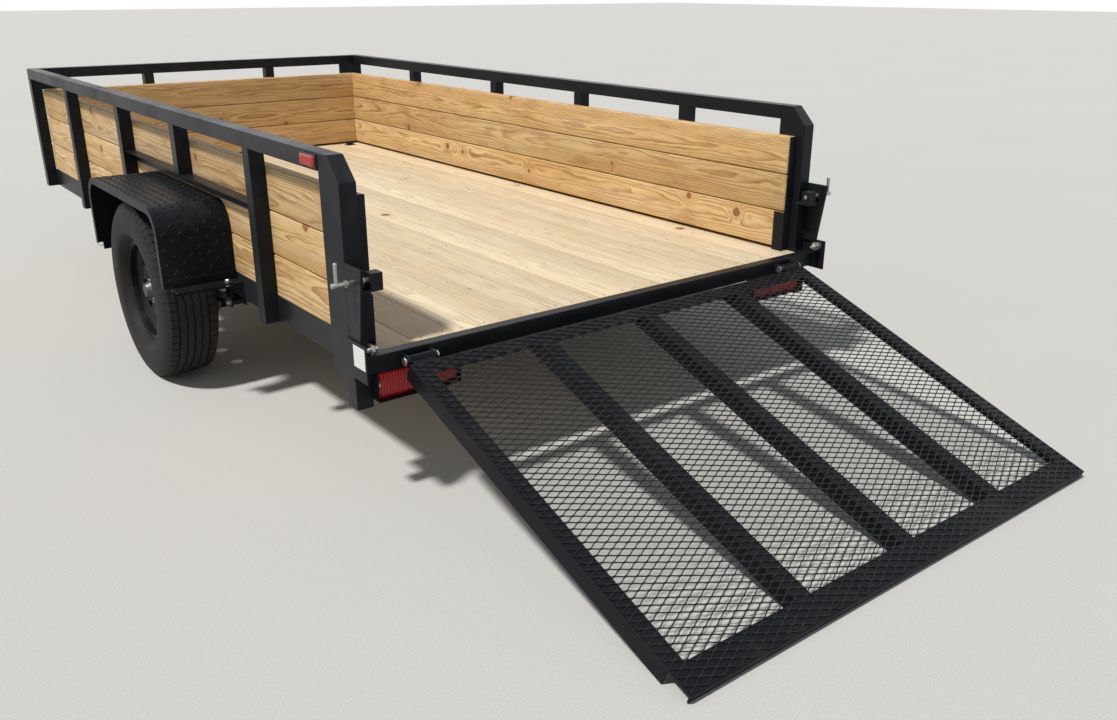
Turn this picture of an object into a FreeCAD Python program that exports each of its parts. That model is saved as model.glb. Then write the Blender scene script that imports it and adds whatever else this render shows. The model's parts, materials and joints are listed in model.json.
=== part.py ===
import FreeCAD, Part
import math
import os

import Sketcher
from FreeCAD import Placement, Rotation, Vector

# Single-axle utility trailer with wood sides and a mesh ramp gate, parked on its jack
# with the ramp down. Working frame: +X right side, +Y towards the coupler, +Z up,
# y = 0 at the rear face of the rear sill, z = 0 on the ground, millimetres.

# Driving sizes: name, value, what it is.
SIZES = [
    ("bed_half", 914.0, "centre line to the outer face of the side frames"),
    ("bed_length", 3658.0, "rear face of the sill to the rear face of the front frame"),
    ("frame_top", 450.0, "top of the frame above the ground"),
    ("frame_depth", 76.0, "height of the frame members"),
    ("frame_leg", 51.0, "flange width of the side and front frames"),
    ("frame_wall", 5.0, "wall of the frame angles and channels"),
    ("sill_width", 40.0, "fore and aft width of the rear sill"),
    ("sill_depth", 51.0, "height of the rear sill"),
    ("cross_leg", 51.0, "flange width of the crossmembers"),
    ("board_thick", 38.0, "thickness of every board"),
    ("deck_play", 1.0, "deck boards to the side frames"),
    ("deck_gap", 1.3, "gap between deck boards"),
    ("wall_board", 139.7, "height of a wall board"),
    ("wall_gap", 1.0, "gap between wall boards"),
    ("wall_lift", 12.0, "gap between the deck and the lowest wall board"),
    ("rail_size", 51.0, "square tube of the rails and uprights"),
    ("rail_wall", 3.2, "wall of the square tube"),
    ("rail_top", 990.0, "top of the rails above the ground"),
    ("post_front", 170.0, "front face of the rear posts"),
    ("post_rear", 50.0, "rear face of the rear posts"),
    ("post_chamfer", 65.0, "cut-off top corner of the rear posts"),
    ("cap_back", 30.0, "rear faces of the posts to the caps on the wall boards' ends"),
    ("kick_length", 50.0, "plates inside the feet of the walls at the rear, fore and aft"),
    ("kick_height", 150.0, "those plates above the frame's top"),
    ("corner_plate", 102.0, "plates at the top corners of the front wall"),
    ("upright_1", 690.0, "rear upright, centre from the sill"),
    ("upright_2", 1390.0, "upright above the fender"),
    ("upright_3", 2090.0, "upright ahead of the fender"),
    ("upright_4", 2930.0, "front side upright"),
    ("front_upright", 355.0, "front wall uprights, centre from the centre line"),
    ("mid_rail_low", 716.0, "underside of the mid rails"),
    ("mid_rail_size", 45.0, "leg of the mid rail angles"),
    ("axle_y", 1450.0, "wheel centre from the rear sill"),
    ("tyre_radius", 332.0, "loaded tyre radius"),
    ("tyre_width", 205.0, "section width of the tyre"),
    ("tyre_gap", 35.0, "tyre to side frame"),
    ("rim_radius", 178.0, "bead seat radius of the wheel"),
    ("rim_wall", 4.0, "thickness of the wheel's steel"),
    ("bead_half", 63.5, "half width between the rim flanges"),
    ("rim_flange", 14.0, "height of the rim flanges"),
    ("rim_well", 20.0, "depth of the rim's drop centre"),
    ("bead_seat", 24.0, "width of the rim's bead seats"),
    ("well_slope", 14.0, "width of the slopes into the rim's drop centre"),
    ("disc_edge", 13.0, "edge of the wheel disc outboard of its middle"),
    ("disc_crown", 24.0, "crown of the wheel disc outboard of its middle"),
    ("bead_play", 0.3, "tyre to rim"),
    ("centre_bore", 41.0, "centre hole of the wheel disc"),
    ("disc_offset", 12.0, "wheel disc face outboard of the tyre's middle"),
    ("vent_radius", 16.0, "vent holes of the wheel"),
    ("vent_pitch", 118.0, "radius of the circle of vent holes"),
    ("hub_radius", 70.0, "hub flange"),
    ("hub_bore", 17.0, "spindle bore in the hub"),
    ("hub_play", 1.0, "spindles to the hubs' bores"),
    ("stud_pitch", 57.15, "radius of the wheel stud circle"),
    ("stud_radius", 6.35, "wheel studs"),
    ("stud_play", 0.8, "wheel studs to their holes"),
    ("stud_length", 40.0, "wheel studs"),
    ("pilot_play", 0.5, "hub to the wheel's centre hole"),
    ("hub_flange", 12.0, "thickness of the hub flange"),
    ("hub_barrel", 24.0, "hub behind its flange"),
    ("hub_wall", 18.0, "wall of the hub's barrel"),
    ("hub_depth", 36.0, "end of the spindle bore outboard of the wheel disc"),
    ("cap_length", 60.0, "grease cap outboard of the wheel disc"),
    ("cap_taper", 16.0, "grease cap, smaller at its end by this radius"),
    ("axle_drop", 90.0, "axle tube below the spindles"),
    ("axle_radius", 30.0, "axle tube"),
    ("drop_play", 8.0, "side frames to the upright blocks of the axle"),
    ("drop_thick", 36.0, "upright blocks of the axle, across"),
    ("drop_half", 25.0, "upright blocks of the axle, half their length"),
    ("stub_reach", 30.0, "spindles past the wheel disc"),
    ("pad_half", 32.0, "spring seats, half their length"),
    ("spring_half", 320.0, "half the distance between the spring eyes"),
    ("spring_width", 44.0, "leaf width"),
    ("leaf_thick", 7.0, "leaf thickness"),
    ("spring_drop", 30.0, "sag of the leaves from the eyes to the seat"),
    ("eye_radius", 15.0, "outside of the spring eyes"),
    ("eye_drop", 42.0, "spring eyes below the frame"),
    ("hanger_thick", 5.0, "spring hanger plates"),
    ("hanger_play", 1.0, "spring hangers to the leaves"),
    ("hanger_half", 22.0, "spring hangers, half their length"),
    ("eye_bolt", 8.0, "radius of the bolts through the spring eyes"),
    ("eye_bolt_over", 12.0, "those bolts past the leaves"),
    ("fender_length", 840.0, "fore and aft length of a fender"),
    ("fender_top", 712.0, "top of the fenders above the ground"),
    ("fender_low", 440.0, "lower edge of the fenders"),
    ("fender_reach", 254.0, "side frame to the outer edge of a fender"),
    ("fender_wall", 2.5, "thickness of the fender plate"),
    ("fender_bend", 95.0, "bend radius of the fenders"),
    ("fender_lip", 24.0, "depth of the outer lip"),
    ("fender_play", 1.0, "fenders to the side frames"),
    ("step_width", 60.0, "fender brace, fore and aft"),
    ("step_inset", 25.0, "fender braces inside the outer edge of a fender"),
    ("step_thick", 4.0, "thickness of the fender braces"),
    ("step_web", 30.0, "fender braces above and below the fender's lower edge"),
    ("ramp_inset", 70.0, "sides of the ramp inside the side frames' outer faces"),
    ("ramp_length", 1219.0, "hinge axis to the end of the ramp"),
    ("ramp_leg", 51.0, "legs of the ramp's angles"),
    ("ramp_wall", 5.0, "wall of the ramp's angles"),
    ("ramp_rise", 7.0, "top of the ramp frame above the hinge axis"),
    ("ramp_start", 24.0, "hinge axis to the ramp's first bar"),
    ("ramp_end_bar", 76.0, "width of the ramp's end bar"),
    ("ramp_lip", 22.0, "depth of the lip at the ramp's end"),
    ("mesh_thick", 3.0, "thickness of the ramp mesh"),
    ("mesh_strand", 9.0, "half width of the mesh strands, along the ramp"),
    ("hinge_back", 28.0, "hinge axis behind the sill"),
    ("hinge_low", 26.0, "hinge axis below the frame's top"),
    ("hinge_inset", 124.0, "hinges inside the side frames' outer faces"),
    ("pin_radius", 8.0, "hinge pins"),
    ("knuckle_radius", 15.0, "ramp knuckles"),
    ("knuckle_length", 76.0, "length of a ramp knuckle"),
    ("pin_play", 0.7, "hinge knuckle bore over the pin"),
    ("pin_over", 6.0, "hinge pins past their ears"),
    ("strap_thick", 12.0, "straps from the knuckles to the ramp frame"),
    ("ear_thick", 8.0, "hinge ears"),
    ("ear_play", 1.5, "hinge ear to knuckle"),
    ("ball_reach", 1220.0, "front frame to the coupler ball"),
    ("tongue_inset", 274.0, "rear ends of the tongue bars inside the side frames"),
    ("tongue_tail", 760.0, "tongue bars' reach behind the front frame"),
    ("tongue_width", 38.0, "width of a tongue bar"),
    ("tongue_wall", 5.0, "wall of the tongue bars"),
    ("nose_back", 90.0, "front ends of the tongue bars behind the coupler ball"),
    ("nose_half", 32.0, "front ends of the tongue bars from the centre line"),
    ("ball_radius", 25.4, "coupler ball, 2 in"),
    ("coupler_wall", 14.0, "wall of the coupler's dome"),
    ("coupler_roof", 6.0, "roof of the coupler's dome"),
    ("coupler_half", 48.0, "half width of the coupler's shank"),
    ("coupler_tail", 130.0, "coupler's shank over the tongue bars"),
    ("coupler_high", 52.0, "height of the coupler's shank"),
    ("jack_back", 330.0, "jack behind the coupler ball"),
    ("jack_outer", 30.0, "outer radius of the jack's tube"),
    ("jack_wall", 3.5, "wall of the jack's tube"),
    ("jack_play", 0.3, "jack leg to the bore of its tube"),
    ("jack_low", 285.0, "lower end of the jack's outer tube"),
    ("jack_high", 720.0, "upper end of the jack's outer tube"),
    ("jack_grip", 150.0, "length of the jack's leg inside its tube"),
    ("jack_roof", 8.0, "closed upper end of the jack's tube"),
    ("jack_plate_half", 110.0, "half width of the jack's mounting plate"),
    ("jack_plate_run", 70.0, "half length of the jack's mounting plate"),
    ("jack_plate_thick", 6.0, "thickness of the jack's mounting plate"),
    ("crank_drop", 40.0, "crank shaft below the top of the jack"),
    ("crank_shaft", 8.0, "radius of the crank shaft"),
    ("crank_reach", 90.0, "length of the crank shaft"),
    ("crank_throw", 110.0, "crank shaft to the crank's grip"),
    ("crank_grip", 12.0, "radius of the crank's grip"),
    ("crank_hold", 80.0, "length of the crank's grip"),
    ("foot_radius", 75.0, "jack foot"),
    ("foot_thick", 5.0, "jack foot plate"),
    ("lamp_length", 274.0, "tail lamp guard length"),
    ("lamp_height", 92.0, "tail lamp guard height"),
    ("guard_wall", 3.0, "wall of the tail lamp guards"),
    ("lens_back", 12.0, "tail lamp lenses inside the rear of their guards"),
    ("lens_front", 8.0, "tail lamps short of the front of their guards"),
    ("marker_start", 4.0, "side markers ahead of the rear posts"),
    ("marker_length", 92.0, "length of the side markers"),
    ("marker_depth", 12.0, "side markers out from the rails"),
    ("marker_edge", 6.0, "side markers inside the edges of the rails"),
    ("latch_low", 640.0, "latch shelf above the ground"),
    ("latch_reach", 92.0, "latch bracket behind the rear posts"),
    ("latch_thick", 6.0, "thickness of the latch shelves"),
    ("latch_rise", 71.0, "top of the latch side plates above the shelves"),
    ("latch_drop", 144.0, "foot of the latch side plates below the shelves"),
    ("latch_foot", 61.0, "foot of the latch side plates behind the rear posts"),
    ("latch_span", 76.0, "latch shelves across, from the outer face of the posts"),
    ("latch_block", 36.0, "latch blocks across"),
    ("latch_block_high", 50.0, "height of the latch blocks with the shelf"),
    ("latch_back", 50.0, "latch pins behind the rear posts"),
    ("latch_lift", 30.0, "latch pins above the shelves"),
    ("latch_pin", 7.0, "radius of the latch pins"),
    ("latch_out", 65.0, "latch pins out from the rear posts"),
    ("latch_handle", 60.0, "height of the latch pins' handles"),
    ("latch_grip", 5.5, "radius of the latch pins' handles"),
    ("foot_low", 284.0, "lower ends of the rear posts' feet above the ground"),
    ("foot_start", 35.0, "rear faces of the rear posts' feet"),
    ("foot_length", 55.0, "rear posts' feet, fore and aft"),
    ("lug_thick", 6.0, "corner lugs on the ends of the sill"),
    ("lug_back", 50.0, "corner lugs behind the sill"),
    ("lug_lap", 20.0, "corner lugs over the sides of the rear posts"),
    ("lug_low", 390.0, "foot of the corner lugs above the ground"),
    ("lug_high", 500.0, "top of the corner lugs above the ground"),
]

doc = FreeCAD.newDocument("utility_trailer")
sheet = doc.addObject("Spreadsheet::Sheet", "Sizes")


class Size:
    """A number together with the sheet expression that gives it."""

    def __init__(self, text, value):
        self.text = text
        self.value = value

    def combine(self, other, sign, value, swap=False):
        left, right = (as_size(other), self) if swap else (self, as_size(other))
        return Size("({} {} {})".format(left.text, sign, right.text), value)

    def __add__(self, other):
        return self.combine(other, "+", self.value + number(other))

    def __radd__(self, other):
        return self.combine(other, "+", self.value + number(other), True)

    def __sub__(self, other):
        return self.combine(other, "-", self.value - number(other))

    def __rsub__(self, other):
        return self.combine(other, "-", number(other) - self.value, True)

    def __mul__(self, other):
        return self.combine(other, "*", self.value * number(other))

    def __rmul__(self, other):
        return self.combine(other, "*", self.value * number(other), True)

    def __truediv__(self, other):
        return self.combine(other, "/", self.value / number(other))

    def __neg__(self):
        return Size("(-1 * {})".format(self.text), -self.value)


def number(item):
    return item.value if isinstance(item, Size) else float(item)


def as_size(item):
    return item if isinstance(item, Size) else Size(repr(float(item)), float(item))


class Sizes:
    """Named sizes, each an aliased cell of the sheet."""


S = Sizes()
row_count = 0


def set_size(name, value, note):
    """Write one named size to the sheet and return it."""
    global row_count
    row_count += 1
    sheet.set("A{}".format(row_count), name)
    sheet.set("B{}".format(row_count), repr(float(value)))
    sheet.set("C{}".format(row_count), note)
    sheet.setAlias("B{}".format(row_count), name)
    size = Size("Sizes." + name, float(value))
    setattr(S, name, size)
    return size


for name, value, note in SIZES:
    set_size(name, value, note)
doc.recompute()


# Shapes bound to the sheet

def bind(obj, prop, item):
    if isinstance(item, Size):
        obj.setExpression(prop, item.text)
    else:
        obj.setExpression(prop, repr(float(item)))


def move(obj, at):
    for axis, item in zip("xyz", at):
        bind(obj, "Placement.Base." + axis, item)


def box(name, size, at):
    """A box from its lowest corner."""
    obj = doc.addObject("Part::Box", name)
    for prop, item in zip(("Length", "Width", "Height"), size):
        bind(obj, prop, item)
    move(obj, at)
    return obj


def span(name, x, y, z):
    """A box between two values on each axis."""
    return box(name, (x[1] - x[0], y[1] - y[0], z[1] - z[0]), (x[0], y[0], z[0]))


AXIS_TURN = {
    "X": Rotation(Vector(0, 1, 0), 90),
    "Y": Rotation(Vector(1, 0, 0), -90),
    "Z": Rotation(),
}


def rod(name, radius, length, at, axis):
    """A cylinder that starts at a point and runs along an axis."""
    obj = doc.addObject("Part::Cylinder", name)
    bind(obj, "Radius", radius)
    bind(obj, "Height", length)
    obj.Placement = Placement(Vector(), AXIS_TURN[axis])
    move(obj, at)
    return obj


def fuse(name, parts):
    obj = doc.addObject("Part::MultiFuse", name)
    obj.Shapes = parts
    obj.Refine = True
    return obj


def cut(name, base, tool):
    obj = doc.addObject("Part::Cut", name)
    obj.Base = base
    obj.Tool = tool
    obj.Refine = True
    return obj


def group(name, parts):
    """Solids of one node that don't touch, or only meet face to face."""
    obj = doc.addObject("Part::Compound", name)
    obj.Links = parts
    return obj


NODES = []


def node(obj, label):
    obj.Label = label
    NODES.append(obj)
    return obj


def mirror(obj, name):
    """The same piece on the other side of the centre line."""
    copy = doc.addObject("Part::Mirroring", name)
    copy.Source = obj
    copy.Base = Vector(0, 0, 0)
    copy.Normal = Vector(1, 0, 0)
    return copy


def both_sides(obj, base):
    """The right-hand piece and its mirror image, as two nodes."""
    node(obj, base + "_right")
    node(mirror(obj, base + "_left_shape"), base + "_left")


def tube(name, x, y, z, wall, along):
    """A square tube between two values on each axis, open at its ends."""
    spans = {"X": x, "Y": y, "Z": z}
    inner = {k: (v if k == along else (v[0] + wall, v[1] - wall)) for k, v in spans.items()}
    outer = span(name + "_outer", x, y, z)
    hollow = span(name + "_hollow", inner["X"], inner["Y"], inner["Z"])
    return cut(name, outer, hollow)


def angle(name, x, y, z, wall, first, second):
    """An angle bar: two flat legs, each on one face of its box, such as ("x", 1) for the
    leg on the greater x face."""
    spans = {"x": x, "y": y, "z": z}
    legs = []
    for number_of_leg, (axis, end) in enumerate((first, second)):
        sides = dict(spans)
        low, high = spans[axis]
        sides[axis] = (high - wall, high) if end else (low, low + wall)
        legs.append(span("{}_leg_{}".format(name, number_of_leg), sides["x"], sides["y"], sides["z"]))
    return fuse(name, legs)


# Levels and stations worked out from the driving sizes

frame_low = S.frame_top - S.frame_depth
sill_low = S.frame_top - S.sill_depth
deck_low = S.frame_top - S.board_thick
rail_low = S.rail_top - S.rail_size
rail_outer = S.bed_half + S.rail_size
wall_inner = S.bed_half - S.board_thick
wall_low = S.frame_top + S.wall_lift
front_outer = S.bed_length + S.rail_size
wheel_x = S.bed_half + S.tyre_gap + S.tyre_width / 2
wheel_z = S.tyre_radius
ramp_half = S.bed_half - S.ramp_inset
hinge_x = S.bed_half - S.hinge_inset
hinge_y = -S.hinge_back
hinge_z = S.frame_top - S.hinge_low
ball_y = front_outer + S.ball_reach
jack_y = ball_y - S.jack_back
tongue_spread = S.bed_half - S.tongue_inset
lamp_x = (S.bed_half - S.lamp_length, S.bed_half)
lamp_low = sill_low - S.lamp_height


# Frame

def side_frame():
    return angle("side_frame", (S.bed_half - S.frame_leg, S.bed_half), (S.sill_width, S.bed_length),
                 (frame_low, S.frame_top - S.board_thick), S.frame_wall, ("x", 1), ("z", 0))


def side_frame_web():
    """The upright leg runs up beside the deck boards to the lowest wall board."""
    return span("side_frame_web", (S.bed_half - S.frame_wall, S.bed_half),
                (S.sill_width, S.bed_length), (frame_low, wall_low))


both_sides(fuse("side_frame_bar", [side_frame(), side_frame_web()]), "side_frame")

node(tube("rear_sill_tube", (-rail_outer, rail_outer), (0, S.sill_width),
          (sill_low, S.frame_top), S.frame_wall, "X"), "rear_sill")
node(angle("front_frame_bar", (-S.bed_half, S.bed_half), (S.bed_length, front_outer),
           (frame_low, wall_low), S.frame_wall, ("y", 0), ("z", 0)), "front_frame")

CROSS_COUNT = 7
cross_pitch = (S.bed_length - S.sill_width) / (CROSS_COUNT + 1)
cross_half = S.bed_half - S.frame_leg
cross_bars = []
for i in range(CROSS_COUNT):
    start = S.sill_width + cross_pitch * (i + 1) - S.cross_leg / 2
    cross_bars.append(angle("crossmember_{}".format(i + 1), (-cross_half, cross_half),
                            (start, start + S.cross_leg), (frame_low, deck_low), S.frame_wall,
                            ("y", 0), ("z", 1)))
node(group("crossmember_set", cross_bars), "crossmembers")

# Deck and wall boards

DECK_COUNT = 13
deck_board = (2 * (S.bed_half - S.frame_wall - S.deck_play) - S.deck_gap * (DECK_COUNT - 1)) / DECK_COUNT
deck_pitch = deck_board + S.deck_gap
deck_start = -(deck_pitch * DECK_COUNT - S.deck_gap) / 2
deck_boards = []
for i in range(DECK_COUNT):
    left = deck_start + deck_pitch * i
    deck_boards.append(span("deck_board_{}".format(i + 1), (left, left + deck_board),
                            (S.sill_width, S.bed_length), (deck_low, S.frame_top)))
node(group("deck_board_set", deck_boards), "deck_boards")

WALL_COUNT = 3
wall_front = S.bed_length - S.board_thick
cap_rear = S.post_rear + S.cap_back


def wall_boards(name, x, y):
    boards = []
    for i in range(WALL_COUNT):
        low = wall_low + (S.wall_board + S.wall_gap) * i
        boards.append(span("{}_{}".format(name, i + 1), x, y, (low, low + S.wall_board)))
    return group(name, boards)


wall_high = wall_low + (S.wall_board + S.wall_gap) * WALL_COUNT - S.wall_gap
both_sides(wall_boards("side_board", (wall_inner, S.bed_half),
                       (cap_rear + S.frame_wall, wall_front)), "wall_boards")
node(wall_boards("front_board", (-S.bed_half, S.bed_half), (wall_front, S.bed_length)), "wall_boards_front")

# Rails and uprights

both_sides(tube("side_rail", (S.bed_half, rail_outer), (S.post_front, front_outer),
                (rail_low, S.rail_top), S.rail_wall, "Y"), "top_rail")


def front_rail():
    """Rail over the front wall with a plate down to the boards at each end."""
    parts = [tube("front_rail", (-S.bed_half, S.bed_half), (S.bed_length, front_outer),
                  (rail_low, S.rail_top), S.rail_wall, "X")]
    for side, start in (("right", S.bed_half - S.corner_plate), ("left", -S.bed_half)):
        parts.append(span("corner_plate_" + side, (start, start + S.corner_plate),
                          (S.bed_length, S.bed_length + S.frame_wall), (wall_high, rail_low)))
    return fuse("front_rail_set", parts)


node(front_rail(), "top_rail_front")

# Side uprights: name, centre from the sill, foot level.
SIDE_UPRIGHTS = [
    ("upright_a", S.upright_1, frame_low),
    ("upright_b", S.upright_2, S.mid_rail_low + S.mid_rail_size),
    ("upright_c", S.upright_3, frame_low),
    ("upright_d", S.upright_4, frame_low),
    ("upright_corner", S.bed_length + S.rail_size / 2, frame_low),
]
side_uprights = []
for name, centre, foot in SIDE_UPRIGHTS:
    side_uprights.append(tube(name, (S.bed_half, rail_outer),
                              (centre - S.rail_size / 2, centre + S.rail_size / 2),
                              (foot, rail_low), S.rail_wall, "Z"))
both_sides(group("side_upright_set", side_uprights), "uprights")

front_uprights = []
for side, centre in (("right", S.front_upright), ("left", -S.front_upright)):
    front_uprights.append(tube("front_upright_" + side,
                               (centre - S.rail_size / 2, centre + S.rail_size / 2),
                               (S.bed_length, front_outer), (wall_low, rail_low), S.rail_wall, "Z"))
node(group("front_upright_set", front_uprights), "uprights_front")

both_sides(angle("mid_rail", (S.bed_half, S.bed_half + S.mid_rail_size),
                 (S.upright_1 + S.rail_size / 2, S.upright_3 - S.rail_size / 2),
                 (S.mid_rail_low, S.mid_rail_low + S.mid_rail_size), S.rail_wall, ("x", 0), ("z", 1)),
           "mid_rail")


def body(name, plane_role):
    """A part design body and one of its origin planes."""
    obj = doc.addObject("PartDesign::Body", name)
    doc.recompute()
    plane = [f for f in obj.Origin.OriginFeatures if f.Role == plane_role][0]
    return obj, plane


def outline(owner, plane, name, points, offset=0.0):
    """A closed sketch of straight lines, each corner held to the sheet."""
    return outlines(owner, plane, name, [points], offset)


def outlines(owner, plane, name, loops, offset=0.0):
    """A sketch of closed loops of straight lines, each corner held to the sheet."""
    sketch = owner.newObject("Sketcher::SketchObject", name)
    sketch.AttachmentSupport = (plane, [""])
    sketch.MapMode = "FlatFace"
    bind(sketch, "AttachmentOffset.Base.z", offset)
    first = 0
    for points in loops:
        count = len(points)
        corners = [Vector(number(u), number(v), 0) for u, v in points]
        for i in range(count):
            sketch.addGeometry(Part.LineSegment(corners[i], corners[(i + 1) % count]), False)
        for i in range(count):
            sketch.addConstraint(Sketcher.Constraint("Coincident", first + i, 2, first + (i + 1) % count, 1))
        for i, (u, v) in enumerate(points):
            for kind, item in (("DistanceX", u), ("DistanceY", v)):
                index = sketch.addConstraint(Sketcher.Constraint(kind, -1, 1, first + i, 1, number(item)))
                if isinstance(item, Size):
                    sketch.setExpression("Constraints[{}]".format(index), item.text)
        first += count
    return sketch


def pad(owner, sketch, name, length):
    feature = owner.newObject("PartDesign::Pad", name)
    feature.Profile = sketch
    bind(feature, "Length", length)
    return feature


def rear_post():
    """Deep rear post with its top rear corner cut off, as a box section."""
    post, plane = body("rear_post_body", "YZ_Plane")
    low = S.frame_top
    corners = [
        (S.post_rear, low), (S.post_front, low), (S.post_front, S.rail_top),
        (S.post_rear + S.post_chamfer, S.rail_top), (S.post_rear, S.rail_top - S.post_chamfer),
    ]
    sketch = outline(post, plane, "rear_post_side", corners, S.bed_half)
    pad(post, sketch, "rear_post_pad", S.rail_size)
    return post


def end_cap():
    """Flat bar that closes the rear ends of the wall boards, with a plate round its foot."""
    bar = span("end_cap", (wall_inner, S.bed_half), (cap_rear, cap_rear + S.frame_wall),
               (wall_low, wall_high))
    kick = span("kick_plate", (wall_inner - S.frame_wall, wall_inner), (cap_rear, cap_rear + S.kick_length),
                (S.frame_top, S.frame_top + S.kick_height))
    return [bar, kick]


def post_foot():
    """Block under the post with a foot below it, and the lug on the outer end of the sill."""
    block = span("post_block", (S.bed_half, rail_outer), (S.sill_width, S.post_front),
                 (frame_low, S.frame_top))
    foot = span("post_foot", (S.bed_half, rail_outer), (S.foot_start, S.foot_start + S.foot_length),
                (S.foot_low, frame_low))
    lug = span("corner_lug", (rail_outer, rail_outer + S.lug_thick),
               (-S.lug_back, S.post_rear + S.lug_lap), (S.lug_low, S.lug_high))
    return [block, foot, lug]


both_sides(fuse("rear_post_set", [rear_post()] + end_cap() + post_foot()), "rear_post")

# Gate latch brackets at the rear posts


def latch():
    """Side plate, shelf and block behind the post, and the pin they guide, pulled out."""
    plate, plane = body("latch_plate_body", "YZ_Plane")
    tip = S.post_rear - S.latch_reach
    high = S.latch_low + S.latch_rise
    foot = S.latch_low - S.latch_drop
    corners = [
        (S.post_rear, high), (tip, high), (S.post_rear - S.latch_foot, foot), (S.post_rear, foot),
    ]
    sketch = outline(plate, plane, "latch_plate_side", corners, rail_outer - S.ear_thick)
    pad(plate, sketch, "latch_plate_pad", S.ear_thick)
    shelf_start = rail_outer - S.latch_span
    pin_y = S.post_rear - S.latch_back
    pin_z = S.latch_low + S.latch_lift
    shelf = span("latch_shelf", (shelf_start, rail_outer), (pin_y - S.latch_block / 2, S.post_rear),
                 (S.latch_low, S.latch_low + S.latch_thick))
    block = span("latch_block", (shelf_start, shelf_start + S.latch_block),
                 (pin_y - S.latch_block / 2, pin_y + S.latch_block / 2),
                 (S.latch_low, S.latch_low + S.latch_block_high))
    pin = rod("latch_pin", S.latch_pin, S.latch_span + S.latch_out, (shelf_start, pin_y, pin_z), "X")
    handle = rod("latch_handle", S.latch_grip, S.latch_handle,
                 (rail_outer + S.latch_out - 2 * S.latch_pin, pin_y, pin_z), "Z")
    return fuse("latch_set", [plate, shelf, block, pin, handle])


both_sides(latch(), "gate_latch")

# Ramp gate, drawn flat behind its hinge axis and then lowered to the ground

ramp_flat = S.ramp_rise.value - S.ramp_leg.value
bar_end = S.ramp_length - S.ramp_end_bar
lever = math.hypot(bar_end.value, ramp_flat)
ramp_slope = math.degrees(math.asin(hinge_z.value / lever) - math.atan2(-ramp_flat, bar_end.value))
ramp_top = S.ramp_rise
ramp_bars = [span("ramp_end_bar", (-ramp_half, ramp_half), (-S.ramp_length, -bar_end),
                  (ramp_top - S.ramp_wall, ramp_top)),
             span("ramp_end_lip", (-ramp_half, ramp_half), (-S.ramp_length, S.ramp_wall - S.ramp_length),
                  (ramp_top - S.ramp_lip, ramp_top)),
             angle("ramp_first_bar", (-ramp_half, ramp_half),
                   (-S.ramp_start - S.ramp_leg, -S.ramp_start), (ramp_top - S.ramp_leg, ramp_top),
                   S.ramp_wall, ("y", 1), ("z", 1))]
RAMP_BARS = 3
ramp_bar_spacing = 2 * ramp_half / (RAMP_BARS + 1)
for i in range(RAMP_BARS):
    centre = ramp_bar_spacing * (i - (RAMP_BARS - 1) / 2.0)
    ramp_bars.append(angle("ramp_bar_{}".format(i + 1), (centre, centre + S.ramp_leg),
                           (-bar_end, -S.ramp_start - S.ramp_wall), (ramp_top - S.ramp_leg, ramp_top),
                           S.ramp_wall, ("x", 0), ("z", 1)))
for side, low, high, end in (("right", ramp_half - S.ramp_leg, ramp_half, 1),
                             ("left", -ramp_half, S.ramp_leg - ramp_half, 0)):
    ramp_bars.append(angle("ramp_side_" + side, (low, high), (-bar_end, -S.ramp_start),
                           (ramp_top - S.ramp_leg, ramp_top), S.ramp_wall, ("x", end), ("z", 1)))
for side, centre in (("right", hinge_x), ("left", -hinge_x)):
    low = centre - S.knuckle_length / 2
    knuckle = rod("knuckle_" + side, S.knuckle_radius, S.knuckle_length, (low, 0, 0), "X")
    strap = span("strap_" + side, (low, low + S.knuckle_length), (-S.ramp_start, 0),
                 (ramp_top - S.strap_thick, ramp_top))
    bore = rod("knuckle_bore_" + side, S.pin_radius + S.pin_play, S.knuckle_length, (low, 0, 0), "X")
    ramp_bars.append(cut("knuckle_part_" + side, fuse("knuckle_body_" + side, [knuckle, strap]), bore))

hinge_point = Vector(0, hinge_y.value, hinge_z.value)
ramp_place = Placement(hinge_point, Rotation(Vector(1, 0, 0), ramp_slope))
ramp_frame = fuse("ramp_frame_bars", ramp_bars)
ramp_frame.Placement = ramp_place
node(ramp_frame, "ramp_frame")

# Diamond openings of the mesh: how many across and along.
MESH_COLUMN_COUNT = 6
MESH_ROW_COUNT = 10


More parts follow.
